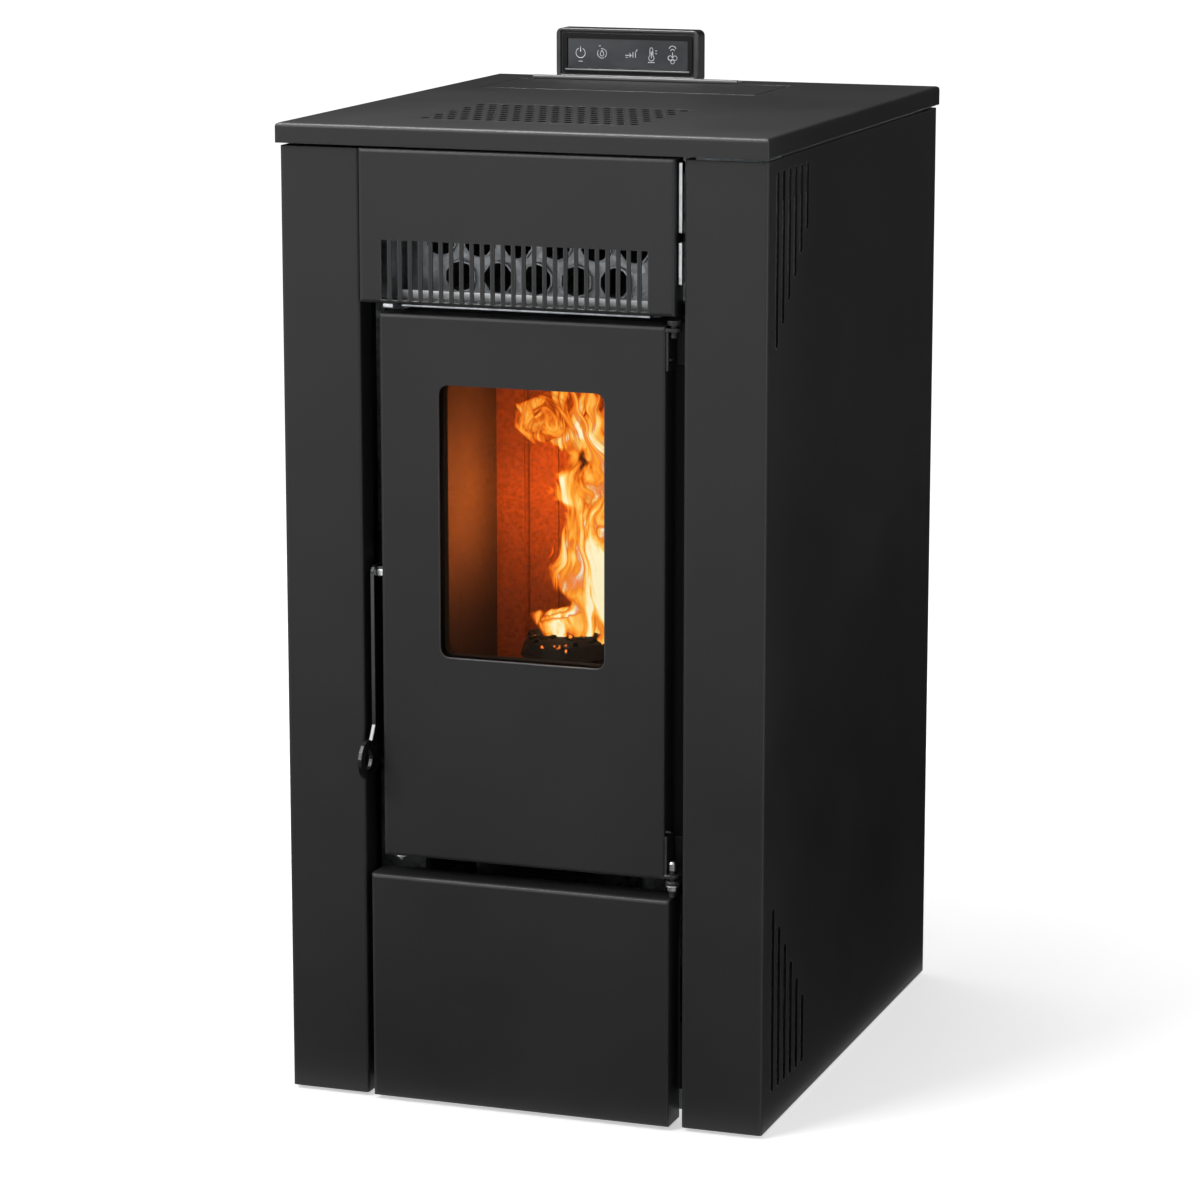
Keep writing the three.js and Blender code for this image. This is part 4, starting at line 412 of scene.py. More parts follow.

# --------------------------------
# Casing: side panels, cover, fascia, lower panel, lid and door skin. Folded
# steel sheet with a satin black powder coat, baked on before assembly. The
# walls of the vents and of the grille's holes are painted dark as shade, and
# the edges get a painted highlight.

SIDE_SHEET = (0.2411, 0.149, 0.478), (0.0008, 0.149, 0.470)
GRILLE_SHEET = (0.120, 0.150, 0.95325), (0.200, 0.200, 0.0006)


# The powder coat's lighter edge colour is a painted highlight along its bends.
def powder_finish(name, cut=None):
    return coat(name, (0.0100, 0.0100, 0.0104), (0.0145, 0.0145, 0.0150), (0.105, 0.105, 0.106),
                rough=(0.48, 0.53), worn_rough=0.20, specular=0.35, grain=(1500.0, 0.00005), cloud=5.0,
                edge=0.0020, patchiness=0.16, edge_amount=0.9, cut=cut)


dress(powder_finish("black_powder_coat"), "top_cover", "hopper_lid", "upper_fascia", "lower_front_panel",
      "door_panel", "door_lug_top", "door_lug_bottom", "hinge_bracket_top", "hinge_bracket_bottom")
dress(powder_finish("powder_coat_sides", SIDE_SHEET), "side_panel_left", "side_panel_right")
dress(powder_finish("powder_coat_grille", GRILLE_SHEET), "top_grille")

# --------------------------------
# Zinc-plated steel: the lever's bolt, the catch, the auger, the igniter and
# the flue spigot are bright; the lid's hinge strip is satin and darker.

bright_plate = coat("bright_zinc_plate", (0.50, 0.51, 0.52), (0.62, 0.63, 0.64), (0.80, 0.80, 0.80),
                    rough=(0.22, 0.34), worn_rough=0.15, metal=1.0, grain=(900.0, 0.00003), cloud=30.0,
                    edge=0.0008, patchiness=0.2, edge_amount=0.6)
dress(bright_plate, "lever_pivot_bolt", "latch_catch", "auger_screw", "flue_outlet", "igniter")

satin_plate = coat("satin_zinc_plate", (0.10, 0.10, 0.105), (0.17, 0.17, 0.175), (0.20, 0.20, 0.20),
                   rough=(0.42, 0.5), worn_rough=0.45, specular=0.3, grain=(900.0, 0.00003), cloud=30.0,
                   edge=0.0006, patchiness=0.1, edge_amount=0.8)
dress(satin_plate, "lid_hinge")

# --------------------------------
# Firebox shell and stand. Welded 3 mm plate under matt, heat-proof black
# paint; the heat greys it a little.

stove_paint = coat("matt_stove_paint", (0.006, 0.006, 0.006), (0.011, 0.0105, 0.010),
                   (0.03, 0.028, 0.027), rough=(0.62, 0.78), worn_rough=0.5, specular=0.25,
                   grain=(700.0, 0.00012), cloud=14.0, edge=0.0015, patchiness=0.6, edge_amount=0.7)
dress(stove_paint, "firebox_body", "firebox_stand")

# --------------------------------
# Cast iron: the door's inner frame, the fire bed plate and the burn pot.
# Sand-cast, left rough, and sooted by the fire.

cast_iron = coat("sooted_cast_iron", (0.0085, 0.008, 0.0075), (0.021, 0.019, 0.017),
                 (0.06, 0.052, 0.045), rough=(0.58, 0.8), worn_rough=0.45, specular=0.4,
                 grain=(420.0, 0.0004), cloud=26.0, edge=0.0018, patchiness=0.7, edge_amount=0.8)
dress(cast_iron, "door_frame", "fire_bed_plate", "burn_pot")

# --------------------------------
# Vermiculite liners and baffle. Pressed flakes of golden mica in a soft
# board, darkened by smoke towards the top.

FLAKE_SCALE = 420.0
SOOT_FROM, SOOT_TO = 0.52, 0.74  # heights between which smoke darkens the boards
DIM_FROM, DIM_TO = 0.42, 0.56  # heights between which the boards go from darker to their full shade
SOOTED_BOARD = (0.022, 0.010, 0.005)


def vermiculite_finish(name, low, high, low_share):
    """Mica flakes from low to high; low_share is the share of the shade kept at the bottom, near the fire
    bed.
    """
    material, tree, shader = new_finish(name, Specular_IOR_Level=0.25)
    place = node(tree, "TexCoord")
    flake = node(tree, "TexVoronoi", Scale=FLAKE_SCALE)
    split = node(tree, "SeparateColor")
    board = blend_colours(tree, low, high)
    height = node(tree, "SeparateXYZ")
    smoke = node(tree, "MapRange", From_Min=SOOT_FROM, From_Max=SOOT_TO)
    dimmed_low = node(tree, "MapRange", From_Min=DIM_FROM, From_Max=DIM_TO, To_Min=low_share,
                 interpolation_type="SMOOTHSTEP")
    dimmed = node(tree, "VectorMath", operation="SCALE")
    grains = grain_node(tree, 500.0, 18.0)
    patchy = node(tree, "Math", operation="MULTIPLY")
    sooted = blend_colours(tree, (0, 0, 0), SOOTED_BOARD)
    dull = node(tree, "MapRange", To_Min=0.7, To_Max=0.92)
    relief = node(tree, "Math", operation="ADD")
    bump = node(tree, "Bump", Distance=0.0004)
    wire(tree,
         (place, "Object", flake, "Vector"), (flake, "Color", split, "Color"),
         (split, "Red", board, "Factor"), (place, "Object", height, "Vector"), (height, "Z", smoke, "Value"),
         (smoke, "Result", patchy, 0), (grains, "Cloud", patchy, 1), (patchy, "Value", sooted, "Factor"),
         (board, "Result", sooted, "A"), (height, "Z", dimmed_low, "Value"), (sooted, "Result", dimmed, 0),
         (dimmed_low, "Result", dimmed, "Scale"), (dimmed, "Vector", shader, "Base Color"),
         (split, "Green", dull, "Value"), (dull, "Result", shader, "Roughness"),
         (grains, "Height", relief, 0), (split, "Blue", relief, 1), (relief, "Value", bump, "Height"),
         (bump, "Normal", shader, "Normal"))
    return material


# The sides and the baffle take a darker copy of the board than the back; the difference is painted shade.
shaded_side_liner = vermiculite_finish("vermiculite_sides_painted_shade", (0.034, 0.0145, 0.0050), (0.066, 0.030, 0.0110), 0.30)
back_liner = vermiculite_finish("vermiculite_back", (0.120, 0.027, 0.0035), (0.230, 0.052, 0.0070), 0.7)
dress(shaded_side_liner, "baffle_plate")
dress(back_liner, "liner_back")

# --------------------------------
# Door glass. Clear ceramic glass, 4 mm thick, faintly brown, with a thin,
# uneven film of soot. Its IOR is set below real glass, so that the white
# studio isn't mirrored over the fire.

GLASS_IOR = 1.07


def ceramic_glass_finish():
    material, tree, shader = new_finish("ceramic_glass", Transmission_Weight=1.0, IOR=GLASS_IOR)
    grains = grain_node(tree, 60.0, 8.0)
    tint = blend_colours(tree, (0.97, 0.94, 0.90), (0.90, 0.86, 0.80))
    haze = node(tree, "MapRange", To_Min=0.0, To_Max=0.03)
    wire(tree,
         (grains, "Cloud", tint, "Factor"), (tint, "Result", shader, "Base Color"),
         (grains, "Cloud", haze, "Value"), (haze, "Result", shader, "Roughness"))
    return material


dress(ceramic_glass_finish(), "door_glass")

# --------------------------------
# Gaskets. A plaited glass-fibre rope in the door frame's groove, and a flat
# woven tape round the glass.


def woven_finish(name, low, high, scale):
    """Two crossing sets of strands, as in plaited glass fibre."""
    material, tree, shader = new_finish(name, Specular_IOR_Level=0.3)
    place = node(tree, "TexCoord")
    turned = node(tree, "Mapping", Rotation=(0.0, math.radians(45), 0.0))
    strands = node(tree, "TexWave", Scale=scale, Distortion=1.2, Detail=2.0, bands_direction="X")
    crossing = node(tree, "TexWave", Scale=scale, Distortion=1.2, bands_direction="Z")
    over = node(tree, "Math", operation="MULTIPLY")
    shade = blend_colours(tree, low, high)
    dull = node(tree, "MapRange", To_Min=0.95, To_Max=0.75)
    bump = node(tree, "Bump", Distance=0.0006)
    wire(tree,
         (place, "Object", turned, "Vector"), (turned, "Vector", strands, "Vector"),
         (turned, "Vector", crossing, "Vector"), (strands, "Fac", over, 0), (crossing, "Fac", over, 1),
         (over, "Value", shade, "Factor"), (shade, "Result", shader, "Base Color"),
         (over, "Value", dull, "Value"), (dull, "Result", shader, "Roughness"),
         (over, "Value", bump, "Height"), (bump, "Normal", shader, "Normal"))
    return material


rope = woven_finish("glass_fibre_rope", (0.018, 0.018, 0.017), (0.085, 0.083, 0.078), 260.0)
dress(rope, "door_gasket")
tape = woven_finish("black_glass_tape", (0.0008, 0.0008, 0.0008), (0.004, 0.004, 0.004), 600.0)
dress(tape, "glass_gasket")

# --------------------------------
# Door lever. A flat steel bar with an eye at its foot, dipped in gloss black
# enamel. The mains rocker has the same gloss.

lever_enamel = coat("gloss_black_enamel", (0.0045, 0.0045, 0.005), (0.008, 0.008, 0.0085),
                    (0.05, 0.05, 0.052), rough=(0.13, 0.22), worn_rough=0.12, specular=0.6,
                    grain=(500.0, 0.00003), cloud=12.0, edge=0.0009, patchiness=0.15, edge_amount=0.5)
dress(lever_enamel, "door_lever", "rocker_switch")

# --------------------------------
# Moulded black plastic: feet, motor cans, mains inlet and display housing.
# Injection-moulded with a fine spark-eroded grain.

moulded_plastic = coat("moulded_black_plastic", (0.008, 0.008, 0.0085), (0.014, 0.014, 0.0145),
                       (0.045, 0.045, 0.047), rough=(0.36, 0.48), worn_rough=0.25, specular=0.5,
                       grain=(2200.0, 0.00006), cloud=20.0, edge=0.0008, patchiness=0.1, edge_amount=0.6)
dress(moulded_plastic, "foot_front_left", "foot_front_right", "foot_rear_left", "foot_rear_right",
      "auger_gearmotor", "smoke_fan_motor", "room_fan_motor", "mains_inlet", "display_housing")

# --------------------------------
# Control board. Glass-fibre laminate under green solder mask.

solder_mask = coat("green_solder_mask", (0.008, 0.055, 0.022), (0.014, 0.085, 0.035),
                   (0.30, 0.26, 0.14), rough=(0.25, 0.4), worn_rough=0.4, specular=0.5,
                   grain=(900.0, 0.00005), cloud=60.0, edge=0.0006, patchiness=0.5, edge_amount=0.6)
dress(solder_mask, "control_board")

# --------------------------------
# Display glass. A dark, glossy touch window, painted a lighter grey in cloudy patches that stands partly for
# its reflection of the room.

display_glass_and_reflection = coat("dark_display_glass", (0.032, 0.035, 0.040), (0.062, 0.065, 0.072),
                     (0.16, 0.165, 0.17), rough=(0.06, 0.16), worn_rough=0.08, specular=0.55,
                     grain=(300.0, 0.00001), cloud=22.0, edge=0.0006, patchiness=0.0, edge_amount=0.9)
dress(display_glass_and_reflection, "display_screen")

# --------------------------------
# Display marks and trim. Five white touch marks printed on the glass: start,
# fire, feed, warmth and fan, with a painted glow; a black ring painted as the
# shade in the well round the glass, a grey rim that is a painted highlight,
# and the brushed lip under it.

MM = 0.001
SCREEN_FACE = 0.2694
SCREEN_CENTRE = (-0.090, 0.980)
MARK_LINE = 0.0007
MARK_DEPTH = 0.00012
SHARPEST_CORNER = 0.0005


def add_piece(name, mesh, material, body):
    """Puts a mesh in the scene as one piece, on its body and with its finish."""
    made = bpy.data.objects.new(name, mesh)
    scene.collection.objects.link(made)
    mesh.materials.append(material)
    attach(made, body)
    return made


def shaped_piece(name, shape, material, body, smooth=False):
    """Turns a finished bmesh into one piece."""
    mesh = bpy.data.meshes.new(name)
    shape.to_mesh(mesh)
    shape.free()
    for face in mesh.polygons:
        face.use_smooth = smooth
    return add_piece(name, mesh, material, body)


def band(shape, low, high):
    """Joins two closed rings of vertices with faces."""
    for k, corner in enumerate(low):
        j = (k + 1) % len(low)
        shape.faces.new((corner, low[j], high[j], high[k]))


def stroke(shape, points, width, depth):
    """A flat line of the given width along points in the screen's plane, with square ends."""
    for start, end in zip(points, points[1:]):
        along = (Vector(end) - Vector(start)).normalized()
        start = Vector(start) - along * width * 0.25
        end = Vector(end) + along * width * 0.25
        side = Vector((-along.y, along.x)) * width / 2
        corners = [start + side, start - side, end - side, end + side]
        front = [shape.verts.new((c.x, -depth, c.y)) for c in corners]
        back = [shape.verts.new((c.x, 0.0, c.y)) for c in corners]
        shape.faces.new(front)
        shape.faces.new(back[::-1])
        band(shape, back, front)


def bow(centre, radius, first, last, steps=14):
    """Points along an arc, in degrees."""
    turns = [math.radians(first + (last - first) * i / steps) for i in range(steps + 1)]
    return [(centre[0] + radius * math.cos(t), centre[1] + radius * math.sin(t)) for t in turns]


def glowing_mark_finish():
    # The white marks also glow faintly; the glow is painted light.
    material, tree, shader = new_finish("white_mark_painted_glow", Roughness=0.5, Emission_Strength=0.22)
    grains = grain_node(tree, 1400.0, 220.0)
    shade = blend_colours(tree, (0.45, 0.46, 0.48), (0.85, 0.86, 0.88))
    wire(tree,
         (grains, "Cloud", shade, "Factor"), (shade, "Result", shader, "Base Color"),
         (shade, "Result", shader, "Emission Color"))
    return material


white_mark_painted_glow = glowing_mark_finish()
MARKS = {  # in mm: each mark's place along the glass, and its lines
    "start": (-52.5, [bow((0, 0), 5.2, 118, 422), [(0, 1.4), (0, 6.6)], [(-2.2, -8.8), (2.2, -8.8)]]),
    "fire": (-28.5, [bow((0, 0), 5, 140, 290), bow((0, 0), 5, -50, 100), bow((0, -0.8), 2, 150, 390),
                     [(-1.7, 0.3), (0, 3.6), (1.7, 0.3)], [(-3.4, 7.8), (-1.6, 7.8)]]),
    "feed": (4, [[(-6.2, -1.4), (0.2, -1.4)], [(-1.8, 0.6), (0.2, -1.4), (-1.8, -3.4)], [(2, -3.6), (2, 2)],
                 [(4.8, -3.6), (4.8, 2), (6.8, 4.8)], [(-5.8, -3.6), (-4, -3.6)]]),
    "warmth": (26.5, [bow((0, -3.6), 3, 125, 415), [(-1.6, -1), (-1.6, 5.6)], [(1.6, -1), (1.6, 5.6)],
                      bow((0, 5.6), 1.6, 0, 180, 6), [(0, -3.6), (0, 3)], [(4.6, 4), (6.2, 4)],
                      [(4.6, 1.2), (6.2, 1.2)], [(-3.6, -8.2), (3.6, -8.2)]]),
    "fan": (50, [bow((0, 5.6), 4, 20, 160, 8), bow((0, 4), 2.2, 20, 160, 6), bow((-2.6, -3), 2.4, 0, 330, 12),
                 bow((2.6, -3), 2.4, 210, 540, 12), bow((0, -7), 2, 90, 420, 12), [(0, -1.2), (0, 2.8)]]),
}
for title, (offset, lines) in MARKS.items():
    shape = bmesh.new()
    for line in lines:
        stroke(shape, [(x * MM, z * MM) for x, z in line], MARK_LINE, MARK_DEPTH)
    bmesh.ops.translate(shape, verts=shape.verts,
                        vec=(SCREEN_CENTRE[0] + offset * MM, SCREEN_FACE, SCREEN_CENTRE[1]))
    shaped_piece("mark_" + title, shape, white_mark_painted_glow, "casing")


def rounded_bar(shape, low, high, radius, segments=3):
    """A box with all its edges rounded."""
    made = bmesh.ops.create_cube(shape, size=1.0)
    middle = [(a + b) / 2 for a, b in zip(low, high)]
    size = [b - a for a, b in zip(low, high)]
    for vert in made["verts"]:
        vert.co = Vector([m + c * s for m, c, s in zip(middle, vert.co, size)])
    edges = {edge for vert in made["verts"] for edge in vert.link_edges}
    bmesh.ops.bevel(shape, geom=list(edges), offset=radius, segments=segments, profile=0.5, affect="EDGES")


def bar_piece(name, boxes, radius, material, body):
    """One piece made of rounded bars; each box is its low and high corner."""
    shape = bmesh.new()
    for low, high in boxes:
        rounded_bar(shape, low, high, radius)
    return shaped_piece(name, shape, material, body, smooth=True)


def ring_piece(name, outer, inner, corner, front, back, soft, material, body):
    """A rounded rectangular frame lying across the y axis; outer and inner are x, z low and high."""
    shape = bmesh.new()
    loops = []
    inner_corner = max(corner - inner[0] + outer[0], SHARPEST_CORNER)
    for (x0, z0, x1, z1), radius, grow in ((outer, corner, 1), (inner, inner_corner, -1)):
        for depth, inset in ((back, 0.0), (front + soft, 0.0), (front, soft)):
            reach = radius - inset * grow
            spots = []
            for cx, cz, first in ((x1 - radius, z1 - radius, 0), (x0 + radius, z1 - radius, 90),
                                  (x0 + radius, z0 + radius, 180), (x1 - radius, z0 + radius, 270)):
                spots += bow((cx, cz), reach, first, first + 90, 6)
            loops.append([shape.verts.new((x, depth, z)) for x, z in spots])
    around = [loops[k] for k in (0, 1, 2, 5, 4, 3, 0)]
    for low, high in zip(around, around[1:]):
        band(shape, high, low)
    bmesh.ops.recalc_face_normals(shape, faces=shape.faces)
    return shaped_piece(name, shape, material, body)


# The well round the glass is a black ring: painted shade for the recess.
well_shade_black = coat("display_well_painted_shade", (0.002, 0.002, 0.002), (0.004, 0.004, 0.004), (0.02, 0.02, 0.02),
                   rough=(0.2, 0.3), worn_rough=0.2, specular=0.3, grain=(400.0, 0.00001), cloud=30.0,
                   edge=0.0004, patchiness=0.1, edge_amount=0.3)
# The rim is a lighter grey than the housing: a painted highlight along its bead.
rim_painted_highlight = coat("display_rim_painted_highlight", (0.045, 0.045, 0.047), (0.075, 0.075, 0.078), (0.22, 0.22, 0.22),
                rough=(0.3, 0.4), worn_rough=0.25, specular=0.5, grain=(900.0, 0.00003), cloud=30.0,
                edge=0.0008, patchiness=0.1, edge_amount=0.8)
lip_grey = coat("brushed_screen_lip", (0.26, 0.26, 0.27), (0.36, 0.36, 0.37), (0.45, 0.45, 0.45),
                rough=(0.3, 0.4), worn_rough=0.25, specular=0.5, grain=(900.0, 0.00003), cloud=30.0,
                edge=0.0004, patchiness=0.1, edge_amount=0.5)
ring_piece("display_well", (-0.1622, 0.9590, -0.0178, 1.0010), (-0.1570, 0.9645, -0.0230, 0.9955), 0.0040,
           0.2680, 0.2686, 0.0001, well_shade_black, "casing")
ring_piece("display_rim", (-0.1690, 0.9545, -0.0110, 1.0060), (-0.1645, 0.9570, -0.0155, 1.0030), 0.0060,
           0.2672, 0.2690, 0.0006, rim_painted_highlight, "casing")
bar_piece("screen_lip", [((-0.1590, 0.2672, 0.9620), (-0.0210, 0.2684, 0.9634))], 0.0003, lip_grey,
          "casing")

# --------------------------------
# Edges of the galvanised air channel that show beside and under the fascia:
# a folded strip in the right-hand gap, broken at a notch, and a low lip.

STRIP_LEFT, STRIP_RIGHT = 0.1552, 0.1588
STRIP_FRONT, STRIP_BACK = -0.2990, -0.2820
STRIP_THICK = 0.0010
FOLD_RADIUS, LIP_RADIUS = 0.0003, 0.0004

# A lighter copy of the galvanised finish: the strip and lips shine with a painted reflection of the white
# room.
channel_zinc_painted_sheen = zinc_finish("galvanised_painted_sheen", (0.52, 0.54, 0.55), (0.70, 0.71, 0.72), (0.34, 0.5))
for title, foot, head in (("upper", 0.8640, 0.9290), ("lower", 0.8160, 0.8550)):
    corner = (STRIP_LEFT, STRIP_FRONT, foot)
    bar_piece("channel_strip_" + title, [(corner, (STRIP_RIGHT, STRIP_FRONT + 0.0012, head)),
                                         (corner, (STRIP_LEFT + STRIP_THICK, STRIP_BACK, head))],
              FOLD_RADIUS, channel_zinc_painted_sheen, "casing")
for title, low, high, zinc in (
        ("plenum_lip", (-0.1300, -0.2795, 0.7890), (0.1420, -0.2780, 0.7972), channel_zinc_painted_sheen),
        ("channel_lip", (-0.1180, -0.3030, 0.7844), (0.1290, -0.2850, 0.7866), galvanised),
        ("channel_tab", (-0.1370, -0.3030, 0.7826), (-0.1270, -0.2900, 0.7866), channel_zinc_painted_sheen)):
    bar_piece(title, [(low, high)], LIP_RADIUS, zinc, "casing")

# --------------------------------
# Small fixings. Button-head screws with a hexagon socket, in blackened
# plate, and zinc-bright nuts, washers and pin caps at the door's hinge.

dark_plate = coat("blackened_plate", (0.012, 0.012, 0.012), (0.03, 0.03, 0.03), (0.30, 0.30, 0.30),
                  rough=(0.25, 0.36), worn_rough=0.18, metal=1.0, grain=(900.0, 0.00003), cloud=60.0,
                  edge=0.0005, patchiness=0.2, edge_amount=0.8)


def lathe(shape, rings, turn, place, hexagons=(), sides=24):
    """Revolves (radius, height) rings about an axis; rings named in hexagons become six-sided."""
    rows = []
    for index, (radius, height) in enumerate(rings):
        row = []
        for step in range(sides):
            angle = math.tau * step / sides
            reach = radius
            if index in hexagons:
                reach = radius * math.cos(math.pi / 6) / math.cos((angle % (math.pi / 3)) - math.pi / 6)
            spot = Vector((reach * math.cos(angle), reach * math.sin(angle), height))
            row.append(shape.verts.new(place + turn @ spot))
        rows.append(row)
    for low, high in zip(rows, rows[1:]):
        band(shape, low, high)
    shape.faces.new(rows[0][::-1])
    shape.faces.new(rows[-1])


def facing(axis):
    return Vector((0, 0, 1)).rotation_difference(Vector(axis)).to_matrix()


def fixing(name, form, axis, place, material, body):
    """One turned piece; form is its rings and those of them that are hexagons."""
    rings, hexagons = form
    shape = bmesh.new()
    lathe(shape, rings, facing(axis), Vector(place), hexagons)
    return shaped_piece(name, shape, material, body)


def button(radius, height):
    """The rings of a button head with its hexagon socket."""
    profile = (1, 0), (1, 0.25), (0.92, 0.6), (0.68, 0.92), (0.50, 1), (0.46, 1), (0.44, 0.4)
    return [(out * radius, up * height) for out, up in profile], (5, 6)


def washer_and_nut(outer, thick, nut, tall):
    """The rings of a washer under a hexagon nut with a rounded end."""
    return [(outer * 0.96, 0), (outer, thick * 0.2), (outer, thick * 0.8), (outer * 0.96, thick),
            (nut, thick), (nut, thick + tall * 0.8), (nut * 0.8, thick + tall)], (4, 5)


HINGE_X = 0.150
HINGE_Y = -0.2945
LUG_HEAD = 0.0028
REAR_SHEET = 0.2895
REAR_SCREW_X = 0.234

pin_cap = [(0.0031, 0), (0.0036, 0.0006), (0.0036, 0.0070), (0.0028, 0.0088), (0.0012, 0.0095)], ()
fixing("lug_screw_top", button(LUG_HEAD, 0.0030), (1, 0, 0), (0.1455, HINGE_Y, 0.745), dark_plate, "door")
fixing("lug_screw_bottom", button(LUG_HEAD, 0.0055), (1, 0, 0), (0.1435, HINGE_Y, 0.2930), dark_plate, "door")
fixing("door_foot_nut", washer_and_nut(0.0058, 0.0020, 0.0024, 0.0034), (0, 0, -1),
       (-0.1275, -0.2930, 0.2475), bright_plate, "door")
fixing("hinge_pin_cap", pin_cap, (0, 0, 1), (HINGE_X, HINGE_Y, 0.2560), bright_plate, "casing")
fixing("hinge_pin_nut", washer_and_nut(0.0066, 0.0016, 0.0048, 0.0046), (0, 0, -1),
       (HINGE_X, HINGE_Y, 0.2420), bright_plate, "casing")
for side, hand in ((-1, "left_"), (1, "right_")):
    for level in (0.045, 0.260, 0.500, 0.740, 0.920):
        fixing("rear_screw_" + hand + str(round(level * 1000)), button(0.0042, 0.0026), (0, 1, 0),
               (side * REAR_SCREW_X, REAR_SHEET, level), dark_plate, "casing")

# --------------------------------
# Pipe ends. Round sleeves with a rolled bead over the flue outlet and the
# air inlet where they leave the rear panel.


def pipe_end(name, x, z, radius, wall, rear, material):
    """A sleeve open at both ends: outside from front to rear, over the bead, and back inside."""
    shape = bmesh.new()
    rings = [(radius, PIPE_FRONT)]
    rings += [(radius + swell, rear - depth) for swell, depth in PIPE_BEAD]
    rings += [(radius, rear - PIPE_EDGE), (radius - wall / 2, rear), (radius - wall, rear - PIPE_EDGE),
              (radius - wall, PIPE_FRONT)]
    turn = facing((0, 1, 0))
    angles = [math.tau * k / PIPE_SIDES for k in range(PIPE_SIDES)]
    rows = []
    for reach, depth in rings:
        spots = [(reach * math.cos(angle), reach * math.sin(angle), depth) for angle in angles]
        rows.append([shape.verts.new(Vector((x, 0, z)) + turn @ Vector(spot)) for spot in spots])
    for low, high in zip(rows, rows[1:] + rows[:1]):
        band(shape, low, high)
    return shaped_piece(name, shape, material, "casing", smooth=True)


PIPE_SIDES = 72
PIPE_FRONT = 0.2878
PIPE_EDGE = 0.0006
PIPE_BEAD = ((0, 0.0100), (0.0009, 0.0085), (0.0012, 0.0070), (0.0009, 0.0055), (0, 0.0040))
pipe_end("flue_sleeve", -0.0700, 0.1320, 0.0437, 0.0022, 0.3350, bright_plate)
pipe_end("air_inlet_sleeve", 0.0920, 0.1110, 0.0233, 0.0016, 0.3200, galvanised)

# --------------------------------
# Seen through the window: the smooth side liners, the black border printed
# round the glass, and the black rim that holds it from behind.

LINER_OUTER, LINER_INNER = 0.1277, 0.1037
LINER_EDGE = 0.0008

for side, name in ((-1, "left"), (1, "right")):
    low_x, high_x = sorted((side * LINER_OUTER, side * LINER_INNER))
    board = bar_piece("smooth_liner_" + name, [((low_x, -0.2585, 0.4023), (high_x, -0.0891, 0.7080))],
                      LINER_EDGE, shaded_side_liner, "casing")
    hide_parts("liner_" + name)
ring_piece("glass_border", (-0.0980, 0.4325, 0.0990, 0.7265), (-0.0840, 0.4465, 0.0850, 0.7125), 0.0240,
           -0.28545, -0.28535, 0.00002, tape, "door")
ring_piece("glass_rim", (-0.0852, 0.4453, 0.0862, 0.7137), (-0.0832, 0.4473, 0.0842, 0.7117), 0.0120,
           -0.2852, -0.2745, 0.0002, tape, "door")

# --------------------------------
# Fuel. Wood pellets in the hopper, and a charred heap of them in the burn
# pot, with embers in its clefts.

PELLET_RADIUS = 0.003
PELLET_END = 0.0006
EMBER_RED = (1.0, 0.22, 0.02, 1)
POT_X, POT_Y = -0.008, -0.1505


def pellet_finish(name, low, high, ember):
    """Pressed sawdust: grain along the pellet, a cloudy shade, and a glow from the clefts."""
    material, tree, shader = new_finish(name, Specular_IOR_Level=0.3, Emission_Color=EMBER_RED)
    grains = grain_node(tree, 700.0, 90.0)
    shade = blend_colours(tree, low, high)
    dull = node(tree, "MapRange", To_Min=0.6, To_Max=0.9)
    bump = node(tree, "Bump", Distance=0.0003)
    cleft = node(tree, "MapRange", From_Min=0.10, From_Max=0.03)
    glow = node(tree, "Math", operation="MULTIPLY", _1=ember)
    wire(tree,
         (grains, "Cloud", shade, "Factor"), (shade, "Result", shader, "Base Color"),
         (grains, "Cloud", dull, "Value"), (dull, "Result", shader, "Roughness"),
         (grains, "Cloud", cleft, "Value"), (cleft, "Result", glow, 0),
         (glow, "Value", shader, "Emission Strength"), (grains, "Height", bump, "Height"),
         (bump, "Normal", shader, "Normal"))
    return material


def add_pellet(shape, place, heading, tilt, length):
    """A short rod with broken, slightly rounded ends."""
    turn = Matrix.Rotation(heading, 3, "Z") @ Matrix.Rotation(tilt, 3, "Y") @ facing((1, 0, 0))
    half = length / 2
    rings = [(0.8 * PELLET_RADIUS, -half), (PELLET_RADIUS, -half + PELLET_END),
             (PELLET_RADIUS, half - PELLET_END), (0.8 * PELLET_RADIUS, half)]
    lathe(shape, rings, turn, Vector(place), sides=10)


def hopper_pellets():
    """An uneven bed of fuel from wall to wall, with loose pellets lying on it."""
    draw = random.Random(21)
    shape = bmesh.new()
    wide, near, far, level, inset = 0.190, 0.005, 0.254, 0.792, 0.012
    steps = 14
    rows = []
    for i in range(steps + 1):
        y = near + (far - near) * i / steps
        rows.append([shape.verts.new((-wide + 2 * wide * k / steps, y, level + draw.uniform(-0.003, 0.003)))
                     for k in range(steps + 1)])
    for low, high in zip(rows, rows[1:]):
        for k in range(steps):
            shape.faces.new((low[k], low[k + 1], high[k + 1], high[k]))
    for _ in range(820):
        place = (draw.uniform(-wide + inset, wide - inset), draw.uniform(near + inset, far - inset),
                 level + draw.uniform(0.001, 0.008))
        add_pellet(shape, place, draw.uniform(0, math.tau), draw.gauss(0, 0.25), draw.uniform(0.010, 0.022))
    fuel = pellet_finish("wood_pellets", (0.36, 0.22, 0.11), (0.56, 0.38, 0.21), 0.0)
    shaped_piece("hopper_pellets", shape, fuel, "casing")


